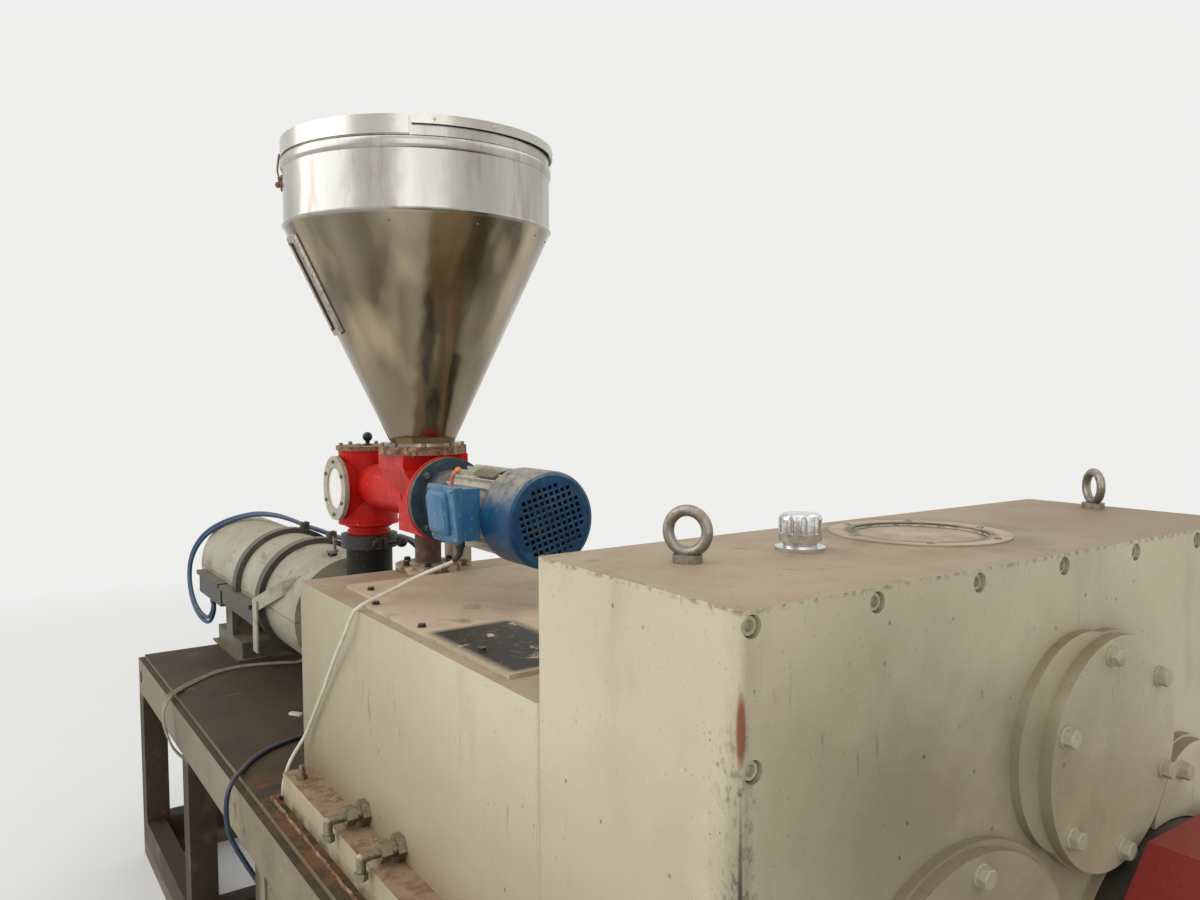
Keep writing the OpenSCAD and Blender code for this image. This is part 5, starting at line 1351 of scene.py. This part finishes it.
class EXTRUDER_OT_top_fastenings(bpy.types.Operator):
    """Bolts of the access plates and screws of the inspection port"""
    bl_idname = "extruder.top_fastenings"
    bl_label = "Top fastenings"

    def execute(self, context):
        s = context.scene.extruder.fastenings
        top = high("access_plates")[2]
        places = []
        for i, (x, y) in enumerate(PLATE_BOLTS):
            for side in (-1, 1):
                places.append(((x, SCREW_Y + side * y, top), (0, 0, 1), 0.7 * i + side))
        bolt = hex_bolt(s.plate_flats, s.plate_flats * 0.4)
        bolts("access_plate_bolts", places, bolt, "bolt_steel", "black_steel")
        centre = middle("inspection_port")
        centre[2] = high("inspection_port")[2]
        ring_middle = (high("inspection_port")[0] - low("inspection_port")[0]) / 2 - PORT_RING_WIDTH / 2
        places = circle_places(centre, ring_middle, step(15, 6), (0, 0, 1), (1, 0, 0), (0, 1, 0))
        bolts("port_screws", places, dome_screw(0.006, 0.0035), "bolt_steel", "bolt_steel")
        return {"FINISHED"}


class EXTRUDER_OT_feeder_fastenings(bpy.types.Operator):
    """Screws of the sight ring, the drum's lid, the flanges and the motor"""
    bl_idname = "extruder.feeder_fastenings"
    bl_label = "Feeder fastenings"

    def execute(self, context):
        s = context.scene.extruder.fastenings
        small = hex_bolt(s.small_flats, s.small_flats * 0.65)
        ring_low, ring_high = low("sight_ring"), high("sight_ring")
        centre = (ring_low + ring_high) / 2
        centre[1] = ring_low[1]
        radius = (ring_high[0] - ring_low[0]) / 2 - 0.0155
        places = circle_places(centre, radius, step(30, 6), (0, -1, 0), (1, 0, 0), (0, 0, 1))
        bolts("sight_ring_screws", places, socket_screw(0.0048, 0.005), "bolt_steel", "bolt_steel")
        for name, node, inset, angles in (("discharge_lid_bolts", "discharge_lid", 0.013, step(20, 6)),
                                          ("throat_flange_bolts", "throat_flange", 0.011, step(22.5, 8))):
            centre = middle(node)
            centre[2] = high(node)[2]
            radius = (high(node)[0] - low(node)[0]) / 2 - inset
            places = circle_places(centre, radius, angles, (0, 0, 1), (1, 0, 0), (0, 1, 0))
            bolts(name, places, small, "bolt_steel", "bolt_steel")
        motor_x = low("feeder_motor")[0] + 0.012
        centre = (motor_x, middle("fan_cowl")[1], FEEDER_Z)
        places = circle_places(centre, MOTOR_FLANGE_BOLTS, step(45, 4), (1, 0, 0), (0, 1, 0), (0, 0, 1))
        bolts("motor_flange_bolts", places, hex_bolt(0.013, 0.008), "bolt_steel", "bolt_steel")
        return {"FINISHED"}


class EXTRUDER_OT_feeder_details(bpy.types.Operator):
    """Clamp bolt, knob of the drum's lid, bolts on the post's flange, stator's plate, cowl's screws"""
    bl_idname = "extruder.feeder_details"
    bl_label = "Feeder details"

    def execute(self, context):
        ear_x = high("clamp_ring")[0] - 0.013
        z = middle("clamp_ring")[2]
        rod = turned([(0.005, 0), (0.005, 0.062)], 14)
        nut = hex_bolt(0.017, 0.008)
        knob = ball(0.016)
        build("clamp_bolt", *joined([
            placed(rod, (ear_x, SCREW_Y - 0.016, z), (0, 1, 0)),
            placed(nut, (ear_x, SCREW_Y - 0.014, z), (0, -1, 0)),
            placed(knob, (ear_x, SCREW_Y + 0.043, z), (0, 1, 0)),
        ]), ROOT, "black_steel", FINISHES["black_steel"], 40)
        lid = middle("discharge_lid")
        top = high("discharge_lid")[2]
        build("lid_knob", *joined([
            placed(turned([(0.014, 0), (0.014, 0.003), (0.006, 0.005), (0.006, 0.012)], 18),
                   (lid[0], lid[1], top)),
            placed(ball(0.0135), (lid[0], lid[1], top + 0.010)),
        ]), ROOT, "black_steel", FINISHES["black_steel"], 40)
        post = (DIST_X0 + POST_INSET, SCREW_Y, DIST_TOP + POST_FLANGE_TOP)
        places = circle_places(post, POST_FLANGE_BOLTS, step(35, 6), (0, 0, 1), (1, 0, 0), (0, 1, 0))
        bolts("post_flange_bolts", places, hex_bolt(0.014, 0.009), "bolt_steel", "black_steel")
        axis = (0, middle("fan_cowl")[1], FEEDER_Z)
        plate = bent_plate(axis, FIN_RADIUS + 0.0006, 0.0012, (56, 84), -0.146, -0.050)
        build("stator_plate", *plate, ROOT, "bolt_steel", FINISHES["plate_steel"], 30)
        places = []
        for a in np.radians([45, 135, 225, 315]):
            out = (0, math.cos(a), math.sin(a))
            point = np.array(axis) + COWL_RADIUS * np.array(out) + [low("fan_cowl")[0] + 0.010, 0, 0]
            places.append((point, out, a))
        bolts("cowl_screws", places, dome_screw(0.0045, 0.003), "bolt_steel", "bolt_steel")
        return {"FINISHED"}


class EXTRUDER_OT_terminal_box(bpy.types.Operator):
    """Raised lid of the feeder's terminal box with its screws, the lead's sleeve, the red key on top"""
    bl_idname = "extruder.terminal_box"
    bl_label = "Terminal box"

    def execute(self, context):
        box_low, box_high = low("terminal_box"), high("terminal_box")
        x = (box_low[0] + box_high[0]) / 2
        foot = np.array([x, SCREW_Y - LID_OUT_LOW, box_low[2]])
        head = np.array([x, SCREW_Y - LID_OUT_HIGH, box_high[2]])
        up = (head - foot) / np.linalg.norm(head - foot)
        across = np.array([1.0, 0, 0])
        normal = np.cross(across, up)
        centre = (foot + head) / 2
        width, height = box_high[0] - box_low[0] + 0.006, np.linalg.norm(head - foot) + 0.006
        rim = prism(rounded(width, height, 0.010, 6), 0.007, 0.0015)
        panel = prism(rounded(width * 0.70, height * 0.76, 0.014, 6), 0.012, 0.006)
        build("terminal_lid", *joined([
            on_plane(rim, centre - 0.003 * normal, across, up),
            on_plane(panel, centre + 0.0035 * normal - 0.008 * across + 0.002 * up, across, up),
        ]), ROOT, "motor_blue", FINISHES["box_blue"], 40)
        corners = [(sx * (width / 2 - 0.009), sy * (height / 2 - 0.009)) for sx in (-1, 1) for sy in (-1, 1)]
        places = [(centre + 0.004 * normal + a * across + b * up, normal, a * 90) for a, b in corners]
        bolts("terminal_lid_screws", places, dome_screw(0.0042, 0.0028), "bolt_steel", "bolt_steel")
        sleeve = smooth_path(np.array(LEAD_ROUTE[:3]) / 1000 + [0, SCREW_Y, 0], 8)
        taper = np.interp(np.linspace(0, 1, len(sleeve)), [0, 0.15, 0.85, 1],
                          [0.0085, 0.0075, 0.0053, 0.0046])
        build("lead_sleeve", *swept(sleeve, taper, 18), ROOT, "black_steel", FINISHES["sleeve_rubber"], 50)
        top = np.array([x, SCREW_Y - 0.118, box_high[2]])
        route = top + np.array([(-0.022, 0, -0.002), (-0.020, 0, 0.012), (-0.010, 0, 0.024),
                                (0.006, 0, 0.030)])
        key = swept(smooth_path(route, 5), 0.0075, 12, 0.55)
        build("terminal_key", *key, ROOT, "guard_red", FINISHES["pale_red"], 50)
        tip = placed(ball(0.0065, 0.9), route[-1] - [0, 0, 0.003], (0.4, 0, 1))
        build("terminal_key_tip", *tip, ROOT, "white_plastic", FINISHES["yellow_plastic"], 50)
        return {"FINISHED"}


class EXTRUDER_OT_hopper_details(bpy.types.Operator):
    """Bead under the lid, rivets, level window's strip and the lid's latch"""
    bl_idname = "extruder.hopper_details"
    bl_label = "Hopper details"

    def execute(self, context):
        s = context.scene.extruder.hopper
        centre = np.array([HOPPER[0], HOPPER[1], 0.0])
        t = np.linspace(0, math.pi, 9)
        bead_z = low("lid_fixed")[2] - 0.0155
        profile = np.column_stack([DRUM_RADIUS - 0.001 + 0.006 * np.sin(t), bead_z - 0.014 * np.cos(t)])
        bead = placed(ring(profile, 128), centre)
        build("drum_bead", *bead, ROOT, "stainless", FINISHES["stainless"], 50)
        skirt = high("lid_hinged")[0] - HOPPER[0]
        places = []
        for a in np.radians(np.arange(-18, 150, 24)):
            out = np.array([math.cos(a), math.sin(a), 0])
            places.append((centre + out * (skirt - 0.0002) + [0, 0, high("lid_hinged")[2] - 0.010], out, a))
        bolts("lid_rivets", places, dome_screw(0.0038, 0.0018), "stainless", "lid_steel", LID)
        places = []
        lean = math.atan2(CONE_WIDENING, 1.0)
        for a in np.radians(np.arange(0, 360, 18)):
            out = np.array([math.cos(a) * math.cos(lean), math.sin(a) * math.cos(lean), -math.sin(lean)])
            z = high("hopper_cone")[2] - 0.020
            point = centre + [cone_radius(z) * math.cos(a), cone_radius(z) * math.sin(a), z]
            places.append((point, out, a))
        bolts("cone_rivets", places, dome_screw(0.0028, 0.0014), "stainless", "bolt_steel")
        self.window(s, centre)
        self.latch(s, centre)
        return {"FINISHED"}

    def window(self, s, centre):
        """Flat strip on the cone with a narrow glass, a dark frame round it and rivets down its edges"""
        a = s.window_angle
        radial = np.array([math.cos(a), math.sin(a), 0.0])
        across = np.array([-math.sin(a), math.cos(a), 0.0])
        foot = centre + radial * cone_radius(s.window_low) + [0, 0, s.window_low]
        head = centre + radial * cone_radius(s.window_high) + [0, 0, s.window_high]
        up = (head - foot) / np.linalg.norm(head - foot)
        normal = np.cross(across, up)
        span = np.linalg.norm(head - foot)
        halfway = (foot + head) / 2
        side = halfway - 0.012 * across
        strip = prism(rounded(s.window_width, span, 0.006), 0.0075, 0.001)
        border = prism(rounded(0.020, span - 0.028, 0.009, 6), 0.0035, 0.0012)
        glass = prism(rounded(0.011, span - 0.040, 0.005, 6), 0.0008)
        for name, shape, at, slot, finish in (
                ("window_strip", strip, halfway - 0.003 * normal, "stainless", "strip_steel"),
                ("window_frame", border, side + 0.004 * normal, "dark_steel", "black_steel"),
                ("window_glass", glass, side + 0.0074 * normal, "sight_glass", "yellow_glass")):
            build(name, *on_plane(shape, at, across, up), ROOT, slot, FINISHES[finish], 40)
        to_edge = (s.window_width / 2 - 0.006) * across
        places = [(halfway + 0.0043 * normal + sx * to_edge + v * span * up, normal, v)
                  for sx in (-1, 1) for v in np.linspace(-0.44, 0.44, 6)]
        bolts("window_rivets", places, dome_screw(0.0034, 0.002), "stainless", "bolt_steel")

    def latch(self, s, centre):
        """Toggle on the drum: its base plate, the lever's knob and the wire loop over the lid's edge"""
        a = s.latch_angle
        radial = np.array([math.cos(a), math.sin(a), 0.0])
        across = np.array([-math.sin(a), math.cos(a), 0.0])
        up = np.array([0.0, 0.0, 1.0])
        z = low("lid_fixed")[2] - 0.052
        base = prism(rounded(0.026, 0.036, 0.005), 0.006, 0.0015)
        at = centre + radial * (DRUM_RADIUS - 0.0015) + [0, 0, z]
        loop = np.array([(-0.008, 0, 0.008), (-0.008, 0, 0.030), (-0.007, 0, 0.060), (0, 0, 0.066),
                         (0.007, 0, 0.060), (0.008, 0, 0.030), (0.008, 0, 0.008)])
        bulge = np.array([0.008, 0.0125, 0.0085, 0.0075, 0.0085, 0.0125, 0.008])
        route = at + loop[:, :1] * across + bulge[:, None] * radial + loop[:, 2:] * up
        build("lid_latch", *joined([
            on_plane(base, at, across, up),
            swept(smooth_path(route, 4), 0.0018, 10),
            placed(ball(0.0075, 0.9), at + 0.005 * radial - 0.004 * up, radial),
            placed(turned([(0.004, -0.014), (0.004, 0.014)], 12), at + 0.008 * radial + 0.009 * up, across),
        ]), ROOT, "bolt_steel", FINISHES["rusty_steel"], 45)


class EXTRUDER_OT_barrel_details(bpy.types.Operator):
    """Bolts of the barrel's rear flange, thermocouple with its wing nut, toggle on the rear cover"""
    bl_idname = "extruder.barrel_details"
    bl_label = "Barrel details"

    def execute(self, context):
        axis = (DIST_X0 - REAR_FLANGE, SCREW_Y, AXIS_Z)
        places = circle_places(axis, REAR_FLANGE_BOLTS, step(15, 12), (-1, 0, 0), (0, 1, 0), (0, 0, 1))
        bolts("barrel_flange_bolts", places, hex_bolt(0.024, 0.013), "bolt_steel", "black_steel")
        at = np.array([THERMOCOUPLE_X, SCREW_Y - 0.008, AXIS_Z + COVER_RADIUS - 0.0005])
        ear = smooth_path([(0.004, 0, 0.034), (0.012, 0, 0.039), (0.016, 0, 0.046)], 4)
        build("thermocouple", *joined([
            placed(turned([(0.010, 0, 9), (0.010, 0.008, 9), (0.0092, 0.010, 1),
                           (0.004, 0.010, 1)], 24, 6), at),
            placed(turned([(0.0048, 0.009), (0.0048, 0.030), (0.0062, 0.031), (0.0062, 0.038),
                           (0.003, 0.040)], 16), at),
            swept(ear + at, 0.003, 10, 0.5),
            swept(ear * [-1, 1, 1] + at, 0.003, 10, 0.5),
        ]), ROOT, "bolt_steel", FINISHES["bolt_steel"], 40)
        out_of_line = 0.030
        rise = math.sqrt(COVER_RADIUS**2 - out_of_line**2)
        at = np.array([TOGGLE_X, SCREW_Y - out_of_line, AXIS_Z + rise - 0.001])
        out = (at - [at[0], SCREW_Y, AXIS_Z]) / COVER_RADIUS
        across = np.array([1.0, 0, 0])
        along = np.cross(out, across)
        body = prism(rounded(0.034, 0.020, 0.004), 0.012, 0.003)
        tongue = prism(rounded(0.040, 0.013, 0.005), 0.003, 0.001)
        build("cover_toggle", *joined([
            on_plane(body, at, across, along),
            on_plane(tongue, at + 0.009 * out - 0.016 * across, across, along),
            placed(turned([(0.003, -0.013), (0.003, 0.013)], 12), at + 0.010 * out, along),
        ]), ROOT, "black_steel", FINISHES["black_steel"], 40)
        return {"FINISHED"}


class EXTRUDER_OT_base_details(bpy.types.Operator):
    """Rusty lip along the table, a scrap of white plastic on it, nuts of the anchor bolts"""
    bl_idname = "extruder.base_details"
    bl_label = "Base details"

    def execute(self, context):
        s = context.scene.extruder.fastenings
        rows = 80
        x = np.linspace(LIP_START, high("table_plate")[0] - 0.002, rows)
        wave = 0.0007 * np.sin(x * 41) + 0.0005 * np.sin(x * 93 + 1)
        outline = np.array([(-0.0018, 0), (0.0018, 0), (0.0018, 0.0075), (0.0010, 0.0085), (-0.0010, 0.0085),
                            (-0.0018, 0.0075)])
        y = SCREW_Y - LIP_OUT + wave[:, None] + outline[None, :, 0]
        z = TABLE_TOP + outline[None, :, 1] * (1 + 60 * wave[:, None])
        points = np.stack([np.broadcast_to(x[:, None], y.shape), y, z], -1).reshape(-1, 3)
        build("table_lip", points, tube_faces(rows, len(outline)), ROOT, "rusty_steel",
              FINISHES["rusty_steel"], 40)
        scrap = prism(rounded(0.042, 0.016, 0.004), 0.007, 0.002)
        build("plastic_scrap", *placed(scrap, (-1.047, SCREW_Y - 0.168, TABLE_TOP), turn=0.6), ROOT,
              "white_plastic", FINISHES["white_plastic"], 40)
        foundation = frame["record"]["mounts"][0]["dims"]
        dx, dy = foundation["spacing_x_mm"] / 2000, foundation["spacing_y_mm"] / 2000
        places = [((i * dx, j * dy, RAIL_WALL), (0, 0, 1), 0.4 * i + j) for i in (-1, 1) for j in (-1, 1)]
        half = s.anchor_flats / 2
        nut = turned([(half, 0, 9), (half, 0.015, 9), (half, 0.018, 1), (0.012, 0.018, 1)], 24, 6)
        stud = joined([
            turned([(0.021, 0), (0.021, 0.003), (0.012, 0.003)], 28),
            placed(nut, (0, 0, 0.003)),
            turned([(0.0095, 0.001), (0.0095, 0.040), (0.0080, 0.042)], 20),
        ])
        bolts("anchor_bolts", places, stud, "bolt_steel", "bolt_steel")
        return {"FINISHED"}


class EXTRUDER_OT_rear_details(bpy.types.Operator):
    """Fastenings of the main motor, its rails, the guard and the side panels, with the motor's fan grille"""
    bl_idname = "extruder.rear_details"
    bl_label = "Rear details"

    def execute(self, context):
        s = context.scene.extruder.fastenings
        front, back = low("main_motor")[0], high("main_motor")[0]
        rail_ends = (low("motor_rails")[0] + 0.0125, high("motor_rails")[0] - 0.0125)
        places = [((x, INPUT_Y + side * FOOT_Y + across, high("motor_rails")[2]), (0, 0, 1), 0.5 * side)
                  for x in rail_ends for side in (-1, 1) for across in (-0.03, 0.03)]
        bolts("rail_bolts", places, hex_bolt(s.rail_flats, s.rail_flats * 0.6), "bolt_steel", "bolt_steel")
        axis = np.array([0.0, INPUT_Y, INPUT_Z])
        places = []
        for a in np.radians([20, 90, 160, 200, 340]):
            out = np.array([0, math.cos(a), math.sin(a)])
            places.append((axis + MOTOR_RADIUS * out + [back - COWL_LENGTH + 0.022, 0, 0], out, a))
        bolts("motor_cowl_screws", places, dome_screw(0.006, 0.004), "bolt_steel", "bolt_steel")
        shield = axis + [front, 0, 0]
        places = circle_places(shield, SHIELD_BOLTS, step(30, 6), (-1, 0, 0), (0, 1, 0), (0, 0, 1))
        bolts("motor_shield_bolts", places, hex_bolt(0.016, 0.009), "bolt_steel", "black_steel")
        self.grille(axis + [back, 0, 0])
        self.box_lid(front)
        y0, y1 = low("coupling_guard")[1], high("coupling_guard")[1]
        x0, x1 = low("coupling_guard")[0], high("coupling_guard")[0]
        z = low("coupling_guard")[2] + 0.025
        places = [((x, y, z), (0, side, 0), 0.3 * i) for y, side in ((y0, -1), (y1, 1))
                  for i, x in enumerate((x0 + 0.03, (x0 + x1) / 2, x1 - 0.03))]
        bolts("guard_screws", places, dome_screw(0.0075, 0.005), "bolt_steel", "bolt_steel")
        places = []
        for y, side in ((low("side_panels")[1], -1), (high("side_panels")[1], 1)):
            for start, end, top in PANELS:
                count = max(2, round((end - start) / 0.21))
                for x in np.linspace(start + 0.022, end - 0.022, count):
                    for z in (PANEL_FOOT + 0.018, top - 0.018):
                        places.append(((x, y, z), (0, side, 0), x * 9))
        bolts("panel_screws", places, dome_screw(0.0065, 0.0038), "bolt_steel", "bolt_steel")
        return {"FINISHED"}

    def grille(self, centre):
        """Fan grille on the motor's rear face: six circles of wire and two wires across, over a dark disc"""
        dish = turned([(0.172, -0.0010), (0.172, 0.0006), (0.150, 0.0012), (0.050, 0.0005),
                       (0.020, 0.0012)], 64)
        build("main_fan_mouth", *placed(dish, centre, (1, 0, 0)), ROOT, "black_steel",
              FINISHES["black_steel"], 30)
        t = np.linspace(0, 2 * math.pi, 9)[:-1]
        wires = []
        for radius in np.linspace(0.035, 0.168, 6):
            profile = np.column_stack([radius + 0.0022 * np.cos(t), 0.0034 + 0.0022 * np.sin(t)])
            wires.append(placed(ring(profile, 72), centre, (1, 0, 0)))
        for a in np.radians([45, 135]):
            out = np.array([0, math.cos(a), math.sin(a)])
            route = centre + np.linspace(-0.170, 0.170, 5)[:, None] * out + [0.0068, 0, 0]
            wires.append(swept(route, 0.0022, 10))
        build("main_fan_grille", *joined(wires), ROOT, "bolt_steel", FINISHES["bolt_steel"], 50)

    def box_lid(self, front):
        """Lid of the main motor's terminal box, with its four screws"""
        (x0, x1), (z0, z1), out = MAIN_BOX
        centre = np.array([front + (x0 + x1) / 2, INPUT_Y + out, INPUT_Z + (z0 + z1) / 2])
        across, up, normal = np.array([-1.0, 0, 0]), np.array([0, 0, 1.0]), np.array([0, 1.0, 0])
        width, height = x1 - x0 + 0.008, z1 - z0 + 0.008
        lid = prism(rounded(width, height, 0.012, 6), 0.010, 0.002)
        build("main_terminal_lid", *on_plane(lid, centre - 0.003 * normal, across, up), ROOT, "motor_blue",
              FINISHES["motor_blue"], 40)
        reach_x, reach_z = (width / 2 - 0.012) * across, (height / 2 - 0.012) * up
        places = [(centre + 0.007 * normal + i * reach_x + j * reach_z, normal, i)
                  for i in (-1, 1) for j in (-1, 1)]
        bolts("main_terminal_screws", places, dome_screw(0.0055, 0.0035), "bolt_steel", "bolt_steel")


class EXTRUDER_PT_panel(bpy.types.Panel):
    """Lists the dressing's operators and settings"""
    bl_label = "Extruder"
    bl_idname = "EXTRUDER_PT_panel"
    bl_space_type = "VIEW_3D"
    bl_region_type = "UI"
    bl_category = "Extruder"

    def draw(self, context):
        layout = self.layout
        for operator, group in STEPS:
            layout.operator(operator.bl_idname)
            if group:
                settings = getattr(context.scene.extruder, group)
                for key in settings.bl_rna.properties.keys():
                    if key not in ("rna_type", "name"):
                        layout.prop(settings, key)


# Each operator in the order of their calls, with its group of settings where it has one
STEPS = [
    (EXTRUDER_OT_finishes, "finishes"),
    (EXTRUDER_OT_stage, "stage"),
    (EXTRUDER_OT_cords, "cords"),
    (EXTRUDER_OT_gearbox_fastenings, "fastenings"),
    (EXTRUDER_OT_top_fastenings, None),
    (EXTRUDER_OT_feeder_fastenings, None),
    (EXTRUDER_OT_feeder_details, None),
    (EXTRUDER_OT_terminal_box, None),
    (EXTRUDER_OT_hopper_details, "hopper"),
    (EXTRUDER_OT_barrel_details, None),
    (EXTRUDER_OT_base_details, None),
    (EXTRUDER_OT_rear_details, None),
]
GROUPS = (FinishSettings, CordSettings, FasteningSettings, HopperSettings, StageSettings, ExtruderSettings)


def register():
    """Registers the settings, the operators and the panel."""
    for cls in GROUPS:
        bpy.utils.register_class(cls)
    for operator, _ in STEPS:
        bpy.utils.register_class(operator)
    bpy.utils.register_class(EXTRUDER_PT_panel)
    bpy.types.Scene.extruder = PointerProperty(type=ExtruderSettings)


def unregister():
    """Takes back what register did."""
    del bpy.types.Scene.extruder
    bpy.utils.unregister_class(EXTRUDER_PT_panel)
    for operator, _ in reversed(STEPS):
        bpy.utils.unregister_class(operator)
    for cls in reversed(GROUPS):
        bpy.utils.unregister_class(cls)


def main():
    """Registers the add-on and calls its operators."""
    register()
    bpy.ops.extruder.finishes()
    bpy.ops.extruder.stage()
    bpy.ops.extruder.cords()
    bpy.ops.extruder.gearbox_fastenings()
    bpy.ops.extruder.top_fastenings()
    bpy.ops.extruder.feeder_fastenings()
    bpy.ops.extruder.feeder_details()
    bpy.ops.extruder.terminal_box()
    bpy.ops.extruder.hopper_details()
    bpy.ops.extruder.barrel_details()
    bpy.ops.extruder.base_details()
    bpy.ops.extruder.rear_details()


if __name__ == "__main__":
    main()
